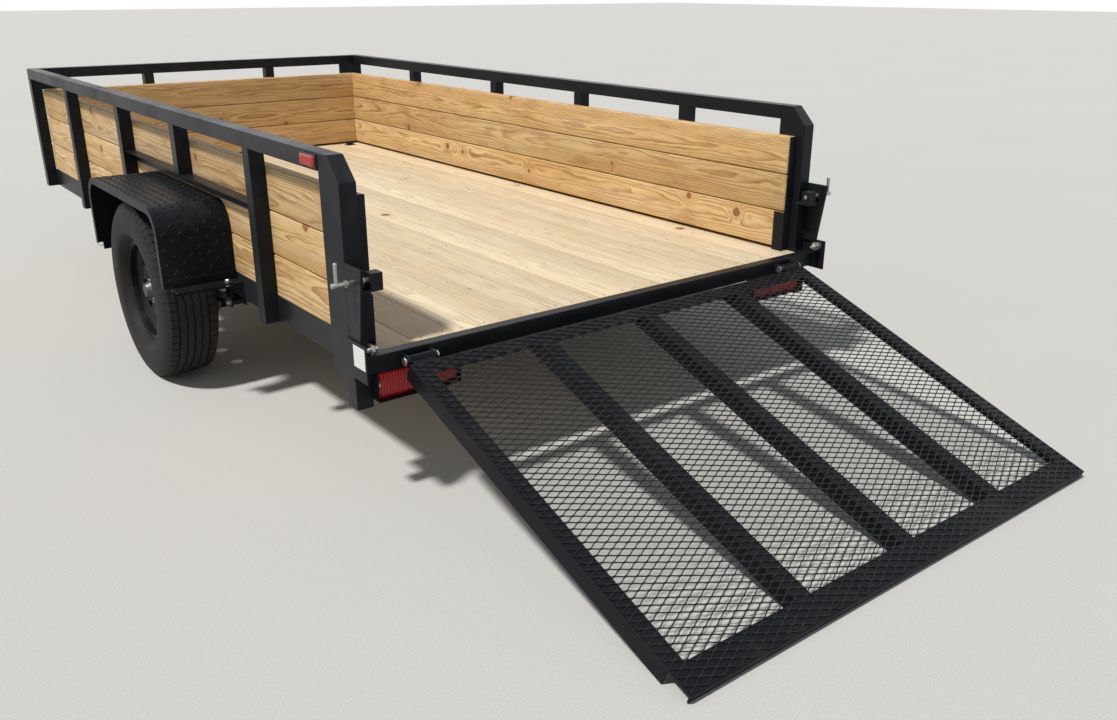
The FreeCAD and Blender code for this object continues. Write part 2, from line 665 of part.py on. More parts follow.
def ramp_sheet():
    """Expanded sheet over the ramp: rows of diamonds, every second row set half a step over."""
    sheet_body, plane = body("ramp_mesh_sheet", "XY_Plane")
    edges = [(-ramp_half, -S.ramp_length), (ramp_half, -S.ramp_length),
             (ramp_half, -S.ramp_start), (-ramp_half, -S.ramp_start)]
    pad(sheet_body, outline(sheet_body, plane, "mesh_edge", edges, ramp_top), "mesh_pad", S.mesh_thick)
    wide = ramp_half * 2 / MESH_COLUMN_COUNT
    deep = (S.ramp_length - S.ramp_start - S.mesh_strand * 2) / MESH_ROW_COUNT
    half_deep = deep / 2 - S.mesh_strand
    half_wide = half_deep * wide / deep
    for name, count, rows, shift in (("even", MESH_COLUMN_COUNT, MESH_ROW_COUNT, 0.5),
                                     ("odd", MESH_COLUMN_COUNT - 1, MESH_ROW_COUNT - 1, 1.0)):
        v = S.mesh_strand - S.ramp_length + deep * shift
        diamonds = []
        for i in range(count):
            u = wide * (i + shift) - ramp_half
            diamonds.append([(u - half_wide, v), (u, v - half_deep), (u + half_wide, v), (u, v + half_deep)])
        row = outlines(sheet_body, plane, "mesh_row_" + name, diamonds, ramp_top)
        pocket = sheet_body.newObject("PartDesign::Pocket", "mesh_pocket_" + name)
        pocket.Profile = row
        pocket.Type = "ThroughAll"
        pocket.Reversed = True
        doc.recompute()
        pattern = sheet_body.newObject("PartDesign::LinearPattern", "mesh_pattern_" + name)
        pattern.Originals = [pocket]
        pattern.Direction = (row, ["V_Axis"])
        bind(pattern, "Length", deep * (rows - 1))
        pattern.Occurrences = rows
        sheet_body.Tip = pattern
        doc.recompute()
    return sheet_body


ramp_mesh_group = group("ramp_mesh_part", [ramp_sheet()])
ramp_mesh_group.Placement = ramp_place
node(ramp_mesh_group, "ramp_mesh")


def hinge_pair():
    """Two round-ended ears on the sill and the pin that carries one knuckle."""
    half = S.knuckle_length / 2 + S.ear_play
    parts = []
    for side, start in (("a", hinge_x - half - S.ear_thick), ("b", hinge_x + half)):
        parts.append(span("ear_" + side, (start, start + S.ear_thick), (hinge_y, 0),
                          (hinge_z - S.knuckle_radius, hinge_z + S.knuckle_radius)))
        parts.append(rod("ear_end_" + side, S.knuckle_radius, S.ear_thick, (start, hinge_y, hinge_z), "X"))
    pin_half = half + S.ear_thick + S.pin_over
    parts.append(rod("hinge_pin", S.pin_radius, pin_half * 2, (hinge_x - pin_half, hinge_y, hinge_z), "X"))
    return fuse("hinge_pair", parts)


both_sides(hinge_pair(), "ramp_hinge")

# Axle, springs and wheels

axle_z = wheel_z - S.axle_drop
spring_x = S.bed_half - S.frame_leg / 2
eye_z = frame_low - S.eye_drop
pack_high = eye_z - S.spring_drop
LEAF_SHARES = (1.0, 0.78, 0.56, 0.34)
pack_low = pack_high - S.leaf_thick * len(LEAF_SHARES)
leaf_x = (spring_x - S.spring_width / 2, spring_x + S.spring_width / 2)
drop_inner = S.bed_half + S.drop_play
drop_outer = drop_inner + S.drop_thick
stub_end = wheel_x + S.disc_offset + S.stub_reach


def axle():
    """Drop axle: one low tube, an upright block inside each wheel and its stub spindle."""
    tube_part = rod("axle_tube", S.axle_radius, drop_outer * 2, (-drop_outer, S.axle_y, axle_z), "X")
    parts = [tube_part]
    for side, block_x, pad_x, stub_x in (
            ("right", (drop_inner, drop_outer), leaf_x, (drop_outer, stub_end)),
            ("left", (-drop_outer, -drop_inner), (-leaf_x[1], -leaf_x[0]), (-stub_end, -drop_outer))):
        parts.append(span("drop_" + side, block_x, (S.axle_y - S.drop_half, S.axle_y + S.drop_half),
                          (axle_z, wheel_z + S.drop_half)))
        parts.append(span("spring_pad_" + side, pad_x, (S.axle_y - S.pad_half, S.axle_y + S.pad_half),
                          (axle_z, pack_low)))
        parts.append(rod("stub_" + side, S.hub_bore - S.hub_play, stub_x[1] - stub_x[0],
                         (stub_x[0], S.axle_y, wheel_z), "X"))
    return fuse("axle_set", parts)


node(axle(), "axle_beam")


def leaf_pack():
    """Leaves bent to one arc about a centre above the axle, each shorter than the last."""
    half = S.spring_half.value
    sag = S.spring_drop.value
    thick = S.leaf_thick.value
    radius = (half * half + sag * sag) / (2 * sag)
    centre_z = pack_high.value + radius

    def point(r, turn):
        return Vector(leaf_x[0].value, S.axle_y.value + r * math.sin(turn), centre_z - r * math.cos(turn))

    pack = None
    for i, share in enumerate(LEAF_SHARES):
        inner = radius + thick * i
        outer = inner + thick
        turn = math.asin(half * share / radius)
        upper = Part.Arc(point(inner, -turn), point(inner, 0), point(inner, turn)).toShape()
        lower = Part.Arc(point(outer, turn), point(outer, 0), point(outer, -turn)).toShape()
        front = Part.makeLine(point(inner, turn), point(outer, turn))
        rear = Part.makeLine(point(outer, -turn), point(inner, -turn))
        leaf = Part.Face(Part.Wire([upper, front, lower, rear])).extrude(Vector(S.spring_width.value, 0, 0))
        pack = leaf if pack is None else pack.fuse(leaf)
    for sign in (-1, 1):
        centre = Vector(leaf_x[0].value, S.axle_y.value + sign * half, eye_z.value - thick / 2)
        pack = pack.fuse(Part.makeCylinder(S.eye_radius.value, S.spring_width.value, centre, Vector(1, 0, 0)))
    obj = doc.addObject("Part::Feature", "leaf_pack")
    obj.Shape = pack.removeSplitter()
    return obj


def spring():
    """Leaf pack with the hanger plates and bolts that hold its eyes under the side frame."""
    parts = [leaf_pack()]
    inner = leaf_x[0] - S.hanger_play - S.hanger_thick
    outer = leaf_x[1] + S.hanger_play
    for side, sign in (("front", 1), ("rear", -1)):
        centre = S.axle_y + S.spring_half * sign
        for edge, start in (("in", inner), ("out", outer)):
            parts.append(span("hanger_{}_{}".format(side, edge), (start, start + S.hanger_thick),
                              (centre - S.hanger_half, centre + S.hanger_half),
                              (eye_z - S.hanger_half, frame_low)))
        parts.append(rod("spring_bolt_" + side, S.eye_bolt, S.spring_width + 2 * S.eye_bolt_over,
                         (leaf_x[0] - S.eye_bolt_over, centre, eye_z - S.leaf_thick / 2), "X"))
    return fuse("spring_set", parts)


both_sides(spring(), "spring")

# Wheels: tyre, steel wheel and hub share one axis.


def revolved(name, points):
    """A profile of (x, radius) corners turned about the wheel's axis."""
    wheel, plane = body(name, "XZ_Plane")
    sketch = outline(wheel, plane, name + "_half", points)
    turn = wheel.newObject("PartDesign::Revolution", name + "_turn")
    turn.Profile = sketch
    turn.ReferenceAxis = (sketch, ["H_Axis"])
    turn.Angle = 360
    return wheel


tyre_half = S.tyre_width / 2
bead_high = S.rim_radius + S.rim_flange
tyre_section = S.tyre_radius - S.rim_radius
# Outboard half of the tyre above the bead: share of the half width, share of the section height.
TYRE_PROFILE = ((0.86, 0.16), (1.0, 0.4), (0.97, 0.71), (0.86, 0.91), (0.74, 0.987), (0.45, 1.0))
TYRE_SIDE = [(S.bead_half - S.bead_play, S.rim_radius + S.bead_play),
             (S.bead_half - S.bead_play, bead_high + S.rim_wall / 4)]
TYRE_SIDE += [(tyre_half * wide, S.rim_radius + tyre_section * high) for wide, high in TYRE_PROFILE]
tyre_points = TYRE_SIDE + [(-u, v) for u, v in reversed(TYRE_SIDE)]
well = S.rim_radius - S.rim_well
well_inner = well - S.rim_wall
seat_inner = S.rim_radius - S.rim_wall
face = S.disc_offset
back = face - S.rim_wall
well_edge = S.bead_seat + S.well_slope
inner_edge = S.rim_wall / 2
# Wheel disc from the rim to the centre hole: outboard of its middle, radius.
DISC_SIDE = [
    (S.disc_edge, well_inner), (S.disc_crown, S.vent_pitch + S.rim_wall),
    (S.disc_crown - S.rim_wall, S.vent_pitch - S.vent_radius), (0, S.hub_radius + S.rim_wall),
    (0, S.centre_bore),
]
# Steel wheel: the tyre side from the inboard flange outwards, then the dished disc and back.
RIM_POINTS = [
    (-S.bead_half - S.rim_wall, bead_high), (-S.bead_half, bead_high), (-S.bead_half, S.rim_radius),
    (S.bead_seat - S.bead_half, S.rim_radius), (well_edge - S.bead_half, well), (S.bead_half - well_edge, well),
    (S.bead_half - S.bead_seat, S.rim_radius), (S.bead_half, S.rim_radius), (S.bead_half, bead_high),
    (S.bead_half + S.rim_wall, bead_high), (S.bead_half + S.rim_wall, seat_inner),
    (S.bead_half - S.bead_seat + inner_edge, seat_inner), (S.bead_half - well_edge + inner_edge, well_inner),
]
RIM_POINTS += [(face + u, v) for u, v in DISC_SIDE]
RIM_POINTS += [(back + u, v) for u, v in reversed(DISC_SIDE)]
RIM_POINTS += [
    (well_edge - inner_edge - S.bead_half, well_inner), (S.bead_seat - inner_edge - S.bead_half, seat_inner),
    (-S.bead_half - S.rim_wall, seat_inner),
]
pilot = S.centre_bore - S.pilot_play
flange_back = back - S.hub_flange
barrel_end = flange_back - S.hub_barrel
# Hub: open bore on the inboard side, flange against the disc, closed grease cap outboard.
HUB_POINTS = [
    (barrel_end, S.hub_bore), (barrel_end, S.hub_bore + S.hub_wall), (flange_back, S.hub_bore + S.hub_wall),
    (flange_back, S.hub_radius), (back, S.hub_radius), (back, pilot),
    (face + S.cap_length / 2, pilot - S.cap_taper / 4), (face + S.cap_length - S.rim_wall, pilot - S.cap_taper),
    (face + S.cap_length, 0), (face + S.hub_depth, 0), (face + S.hub_depth, S.hub_bore),
]

STUD_COUNT = 5


def stud_set(name):
    studs = []
    for i in range(STUD_COUNT):
        turn = 2 * math.pi * i / STUD_COUNT
        stud = rod("{}_{}".format(name, i), S.stud_radius, S.stud_length,
                   (back - S.hub_flange / 2, S.stud_pitch * math.cos(turn), S.stud_pitch * math.sin(turn)), "X")
        studs.append(stud)
    return studs


tyre = revolved("tyre", tyre_points)
rim_blank = revolved("rim", RIM_POINTS)
vents = []
VENT_COUNT = 8
for i in range(VENT_COUNT):
    turn = 2 * math.pi * i / VENT_COUNT
    vents.append(rod("vent_{}".format(i), S.vent_radius, S.tyre_width,
                     (0, S.vent_pitch * math.cos(turn), S.vent_pitch * math.sin(turn)), "X"))
stud_holes = []
for i in range(STUD_COUNT):
    turn = 2 * math.pi * i / STUD_COUNT
    stud_holes.append(rod("stud_hole_{}".format(i), S.stud_radius + S.stud_play, S.tyre_width,
                          (0, S.stud_pitch * math.cos(turn), S.stud_pitch * math.sin(turn)), "X"))
rim = cut("rim_drilled", rim_blank, fuse("rim_holes", vents + stud_holes))
hub = fuse("hub_set", [revolved("hub", HUB_POINTS)] + stud_set("stud"))
for piece, label in ((tyre, "tyre"), (rim, "wheel"), (hub, "hub")):
    for side, sign in (("right", 1), ("left", -1)):
        source = piece
        if sign < 0:
            source = mirror(piece, label + "_mirrored")
        placed = group("{}_{}_placed".format(label, side), [source])
        move(placed, (wheel_x * sign, S.axle_y, wheel_z))
        node(placed, "{}_{}".format(label, side))

# Fenders


def arch(name, x, inset, low):
    """A round-cornered block, smaller by the inset on its top and ends."""
    start = S.axle_y - S.fender_length / 2 + inset
    block = span(name + "_block", x, (start, start + S.fender_length - 2 * inset),
                 (low, S.fender_top - inset))
    doc.recompute()
    edges = []
    top = S.fender_top.value - number(inset)
    for index, edge in enumerate(block.Shape.Edges):
        ends = [v.Point for v in edge.Vertexes]
        if all(abs(p.z - top) < 0.01 for p in ends) and abs(ends[0].x - ends[1].x) > 1:
            radius = S.fender_bend.value - number(inset)
            edges.append((index + 1, radius, radius))
    rounded = doc.addObject("Part::Fillet", name)
    rounded.Base = block
    rounded.Edges = edges
    return rounded


def fender():
    """Plate arch with a lip on its outer edge and a brace at each foot."""
    inner_x = S.bed_half + S.fender_play
    outer_x = S.bed_half + S.fender_reach
    lip_x = (outer_x - S.fender_wall, outer_x)
    under = S.fender_low - S.step_web
    sheet_part = cut("fender_sheet", arch("fender_outer", (inner_x, outer_x), 0, S.fender_low),
                     arch("fender_inner", (inner_x, outer_x), S.fender_wall, under))
    lip = cut("fender_rim", arch("lip_outer", lip_x, 0, S.fender_low),
              arch("lip_inner", lip_x, S.fender_lip, under))
    parts = [sheet_part, lip]
    for side, sign in (("front", 1), ("rear", -1)):
        edge = S.axle_y + S.fender_length / 2 * sign
        low, high = (edge, edge + S.step_width) if sign > 0 else (edge - S.step_width, edge)
        parts.append(span("step_top_" + side, (S.bed_half, outer_x - S.step_inset), (low, high),
                          (S.fender_low - S.step_thick, S.fender_low)))
        foot = (low, low + S.step_thick) if sign > 0 else (high - S.step_thick, high)
        parts.append(span("step_web_" + side, (S.bed_half, outer_x - S.step_inset), foot,
                          (S.fender_low - S.step_web, S.fender_low + S.step_web)))
    return fuse("fender_set", parts)


both_sides(fender(), "fender")

# Tongue, coupler and jack

tongue_high = frame_low
tongue_low = tongue_high - S.frame_depth
tongue_start = S.bed_length - S.tongue_tail
tongue_nose = ball_y - S.nose_back
run_x = (tongue_spread - S.nose_half).value
run_y = (tongue_nose - tongue_start).value
tongue_turn = math.degrees(math.atan2(run_x, run_y))
tongue_length = math.hypot(run_x, run_y)
channel = cut("tongue_channel",
              box("tongue_outer", (S.tongue_width, tongue_length, S.frame_depth), (-S.tongue_width / 2, 0, 0)),
              box("tongue_hollow", (S.tongue_width, tongue_length, S.frame_depth - 2 * S.tongue_wall),
                  (S.tongue_wall - S.tongue_width / 2, 0, S.tongue_wall)))
tongue = group("tongue_bar", [channel])
tongue.Placement = Placement(Vector(tongue_spread.value, tongue_start.value, tongue_low.value),
                             Rotation(Vector(0, 0, 1), tongue_turn))
both_sides(tongue, "tongue")

bracket = cut("jack_bracket",
              span("jack_plate", (-S.jack_plate_half, S.jack_plate_half),
                   (jack_y - S.jack_plate_run, jack_y + S.jack_plate_run),
                   (tongue_high, tongue_high + S.jack_plate_thick)),
              rod("jack_hole", S.jack_outer, 3 * S.jack_plate_thick,
                  (0, jack_y, tongue_high - S.jack_plate_thick), "Z"))
jack_run = S.jack_high - S.jack_low
jack_tube = cut("jack_tube_wall",
                rod("jack_tube_outer", S.jack_outer, jack_run, (0, jack_y, S.jack_low), "Z"),
                rod("jack_tube_bore", S.jack_outer - S.jack_wall, jack_run - S.jack_roof,
                    (0, jack_y, S.jack_low), "Z"))
node(fuse("jack_tube_set", [bracket, jack_tube]), "jack_tube")
leg_radius = S.jack_outer - S.jack_wall - S.jack_play
leg = rod("jack_leg_tube", leg_radius, S.jack_low + S.jack_grip - S.foot_thick, (0, jack_y, S.foot_thick), "Z")
foot = rod("jack_foot", S.foot_radius, S.foot_thick, (0, jack_y, 0), "Z")
node(fuse("jack_leg_set", [leg, foot]), "jack_leg")
crank_z = S.jack_high - S.crank_drop
crank_x = S.jack_outer + S.crank_reach - S.crank_shaft
grip_z = crank_z - S.crank_throw
crank = [rod("crank_shaft", S.crank_shaft, S.crank_reach, (S.jack_outer, jack_y, crank_z), "X"),
         rod("crank_arm", S.crank_shaft, S.crank_throw, (crank_x, jack_y, grip_z), "Z"),
         rod("crank_grip", S.crank_grip, S.crank_hold, (crank_x, jack_y, grip_z), "X")]
node(fuse("crank_set", crank), "jack_crank")

coupler = fuse("coupler_block", [
    span("coupler_shank", (-S.coupler_half, S.coupler_half),
         (tongue_nose - S.coupler_tail, ball_y), (tongue_high, tongue_high + S.coupler_high)),
    rod("coupler_dome", S.ball_radius + S.coupler_wall, S.ball_radius * 2, (0, ball_y, tongue_high), "Z")])
socket = rod("coupler_socket", S.ball_radius, S.ball_radius * 2 - S.coupler_roof, (0, ball_y, tongue_high), "Z")
node(cut("coupler_body", coupler, socket), "coupler")

# Tail lamps under the sill and markers on the rails

marker_y = S.post_front + S.marker_start
both_sides(tube("guard", lamp_x, (0, S.sill_width), (lamp_low, sill_low), S.guard_wall, "Y"), "lamp_guard")
both_sides(span("lamp_lens", (lamp_x[0] + S.guard_wall, lamp_x[1] - S.guard_wall),
                (S.lens_back, S.sill_width - S.lens_front),
                (lamp_low + S.guard_wall, sill_low - S.guard_wall)), "tail_lamp")
both_sides(span("marker_lamp", (rail_outer, rail_outer + S.marker_depth),
                (marker_y, marker_y + S.marker_length),
                (rail_low + S.marker_edge, S.rail_top - S.marker_edge)), "side_marker")


# Placing and export

doc.recompute()
problems = []
for obj in doc.Objects:
    if "Invalid" in obj.State or "Error" in obj.State:
        problems.append("{} {}".format(obj.Name, obj.State))
for obj in NODES:
    if obj.Shape.isNull() or not obj.Shape.isValid() or not obj.Shape.Solids:
        problems.append("{} has no valid shape".format(obj.Label))
if problems:
    raise RuntimeError("; ".join(problems))

whole = NODES[0].Shape.BoundBox
for obj in NODES[1:]:
    whole.add(obj.Shape.BoundBox)
datum = Vector(0, -(whole.YMin + whole.YMax) / 2, 0)
os.makedirs("parts", exist_ok=True)
for obj in NODES:
    shape = obj.Shape.copy()
    shape.translate(datum)
    shape.exportStep("parts/{}.step".format(obj.Label))
print("nodes", len(NODES), "shift", round(datum.y, 4), "low", round(whole.ZMin, 4))
print("box", round(whole.XLength, 2), round(whole.YLength, 2), round(whole.ZLength, 2))
print("hinge", hinge_y.value + datum.y, hinge_z.value, "slope", ramp_slope)
print("wheel", wheel_x.value, S.axle_y.value + datum.y, wheel_z.value, "jack", jack_y.value + datum.y)
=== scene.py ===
"""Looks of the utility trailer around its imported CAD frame.

Metres, +X the trailer's right side, +Y towards the coupler, +Z up, z = 0 on the ground.
In order: camera, node materials, mesh building, finish of the CAD nodes, boards, tyres, wheel
trim, ramp mesh, fender plates, lamps, small parts, jack and coupler fittings, light and floor.
"""
import json
import random
from functools import partialmethod
from math import atan2, cos, degrees, exp, pi, radians, sin, sqrt

import bpy
from mathutils import Matrix, Vector


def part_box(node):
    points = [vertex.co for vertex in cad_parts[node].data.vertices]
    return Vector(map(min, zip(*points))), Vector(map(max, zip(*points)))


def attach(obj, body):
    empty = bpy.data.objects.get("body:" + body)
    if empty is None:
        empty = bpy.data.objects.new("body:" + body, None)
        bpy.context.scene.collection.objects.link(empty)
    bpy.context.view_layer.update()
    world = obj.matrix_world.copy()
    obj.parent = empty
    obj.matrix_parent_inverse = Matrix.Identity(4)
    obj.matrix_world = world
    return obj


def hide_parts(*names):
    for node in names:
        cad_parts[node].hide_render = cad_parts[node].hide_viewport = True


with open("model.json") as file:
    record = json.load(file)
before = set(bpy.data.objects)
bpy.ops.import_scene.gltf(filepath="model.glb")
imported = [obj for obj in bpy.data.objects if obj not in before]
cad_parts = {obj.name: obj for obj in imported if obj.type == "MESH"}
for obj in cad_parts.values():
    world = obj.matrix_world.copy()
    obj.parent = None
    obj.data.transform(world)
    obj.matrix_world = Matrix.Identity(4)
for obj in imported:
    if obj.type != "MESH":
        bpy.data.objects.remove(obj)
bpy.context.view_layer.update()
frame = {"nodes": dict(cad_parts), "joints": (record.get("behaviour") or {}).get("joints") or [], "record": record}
nodes = frame["nodes"]
scene = bpy.context.scene
pivots = {joint["name"]: joint.get("pos_m") for joint in frame["joints"]}
SIDES = (("left", -1), ("right", 1))
UP = (0, 0, 1)
TAU = 2 * pi


# Camera: the photograph's viewpoint

CAMERA_AT = (-2.0988, -4.2361, 1.411)
CAMERA_YAW, CAMERA_PITCH, CAMERA_ROLL = 0.6613, -0.3609, 0.0019  # radians
LENS_MM = 32.06


def make_camera():
    """A camera at the photograph's place, turned by yaw from +Y, pitch and roll."""
    forward = Vector((sin(CAMERA_YAW) * cos(CAMERA_PITCH),
                      cos(CAMERA_YAW) * cos(CAMERA_PITCH), sin(CAMERA_PITCH)))
    level = Vector((cos(CAMERA_YAW), -sin(CAMERA_YAW), 0))
    over = level.cross(forward)
    right = cos(CAMERA_ROLL) * level + sin(CAMERA_ROLL) * over
    up = cos(CAMERA_ROLL) * over - sin(CAMERA_ROLL) * level
    camera = bpy.data.objects.new("camera", bpy.data.cameras.new("camera"))
    camera.data.sensor_width = 36
    camera.data.lens = LENS_MM
    camera.data.clip_end = 200
    turn = Matrix((right, up, -forward)).transposed()
    camera.matrix_world = Matrix.Translation(CAMERA_AT) @ turn.to_4x4()
    scene.collection.objects.link(camera)
    scene.camera = camera


make_camera()
scene.view_settings.view_transform = "Standard"


# Node materials

class Graph:
    """The nodes of a material or a world, with one short call for each kind used here."""

    def __init__(self, owner):
        owner.use_nodes = True
        owner.node_tree.nodes.clear()
        self.owner = owner
        self.tree = owner.node_tree

    def put(self, socket, value):
        """Links a socket, or sets its value; a colour gets its fourth channel."""
        if isinstance(value, bpy.types.NodeSocket):
            self.tree.links.new(value, socket)
        elif isinstance(value, tuple) and socket.type == "RGBA":
            socket.default_value = (*value, 1)
        else:
            socket.default_value = value

    def add(self, kind, inputs=(), **settings):
        node = self.tree.nodes.new("ShaderNode" + kind)
        for key, value in settings.items():
            setattr(node, key, value)
        for key, value in dict(inputs).items():
            self.put(node.inputs[key], value)
        return node

    def place(self):
        return self.add("TexCoord").outputs["Object"]

    def attribute(self, name, output="Fac"):
        return self.add("Attribute", attribute_name=name).outputs[output]

    def math(self, operation, *values):
        return self.add("Math", enumerate(values), operation=operation).outputs[0]

    plus = partialmethod(math, "ADD")
    minus = partialmethod(math, "SUBTRACT")
    times = partialmethod(math, "MULTIPLY")
    over = partialmethod(math, "DIVIDE")

    def split(self, vector):
        return self.add("SeparateXYZ", {"Vector": vector}).outputs

    def stretch(self, vector, scale, offset=(0, 0, 0)):
        inputs = {"Vector": vector, "Scale": scale, "Location": offset}
        return self.add("Mapping", inputs).outputs[0]

    def noise(self, vector, scale, detail=3, rough=0.5):
        inputs = {"Vector": vector, "Scale": scale, "Detail": detail, "Roughness": rough}
        return self.add("TexNoise", inputs).outputs[0]

    def streaks(self, vector, scale, detail, rough=0.5, offset=(0, 0, 0)):
        """Noise drawn out by a scale of its own for each axis."""
        return self.noise(self.stretch(vector, scale, offset), 1, detail, rough)

    def ramp(self, factor, *stops):
        """A colour ramp from (position, colour or grey level) stops."""
        node = self.add("ValToRGB", {"Fac": factor})
        points = node.color_ramp.elements
        while len(points) < len(stops):
            points.new(1)
        for point, (at, colour) in zip(points, stops):
            point.position = at
            point.color = (*colour, 1) if isinstance(colour, tuple) else (colour, colour, colour, 1)
        return node.outputs[0]

    def remap(self, value, low, high, to_low=0, to_high=1):
        inputs = {"Value": value, "From Min": low, "From Max": high,
                  "To Min": to_low, "To Max": to_high}
        return self.add("MapRange", inputs, interpolation_type="SMOOTHSTEP").outputs[0]

    def mix(self, factor, first, second, blend="MIX"):
        inputs = {0: factor, 6: first, 7: second}
        return self.add("Mix", inputs, data_type="RGBA", blend_type=blend).outputs[2]

    def bump(self, height, depth, normal=None):
        node = self.add("Bump", {"Height": height, "Distance": depth, "Strength": 1})
        if normal is not None:
            self.put(node.inputs["Normal"], normal)
        return node.outputs[0]

    def finish(self, **sockets):
        """Joins the shader to the output and returns the material."""
        shader = self.add("BsdfPrincipled")
        for key, value in sockets.items():
            self.put(shader.inputs[key.replace("_", " ")], value)
        self.add("OutputMaterial", {"Surface": shader.outputs[0]})
        return self.owner


def coat(name):
    return Graph(bpy.data.materials.new(name))


def shade(colour, factor):
    """A colour made darker or lighter, each channel at most 1."""
    return tuple(min(1, c * factor) for c in colour)


def painted(name, colour, roughness, grain=260, dust=0.05, sheen=0.17):
    """Satin powder coat: fine orange peel, cloudy gloss, pale dust and lighter worn edges."""
    g = coat(name)
    at = g.place()
    cloud = g.noise(at, 3.2, 5, 0.6)
    peel = g.noise(at, grain, 2)
    smear = g.streaks(at, (9, 2, 9), 6, 0.65)
    rounded = g.add("Bevel", {"Radius": 0.0022}, samples=4).outputs[0]
    flat = g.add("NewGeometry").outputs["Normal"]
    facing = g.add("VectorMath", enumerate((rounded, flat)),
                   operation="DOT_PRODUCT").outputs["Value"]
    edge = g.times(g.remap(facing, 0.985, 0.86), g.remap(g.noise(at, 38, 4), 0.42, 0.7))
    tint = g.mix(g.times(g.remap(smear, 0.48, 0.78), dust), colour, (0.3, 0.28, 0.25))
    tint = g.mix(g.times(edge, 0.16), tint, (0.22, 0.22, 0.23))
    gloss = g.remap(cloud, 0.3, 0.75, roughness - 0.06, roughness + 0.1)
    return g.finish(Base_Color=tint, Roughness=gloss, Normal=g.bump(peel, 0.00012, rounded),
                    Specular_IOR_Level=sheen, Specular_Tint=(0.8, 0.9, 1))


KNOT_CELLS = 4.6  # cells in a metre; each cell may hold one knot
KNOT_REACH = 0.034  # how far a knot bends the grain
KNOT_SIZES = (0.007, 0.02)  # radii
RING_PITCH = 0.0058
RAY_PITCH = 0.0021  # of the rings inside a knot


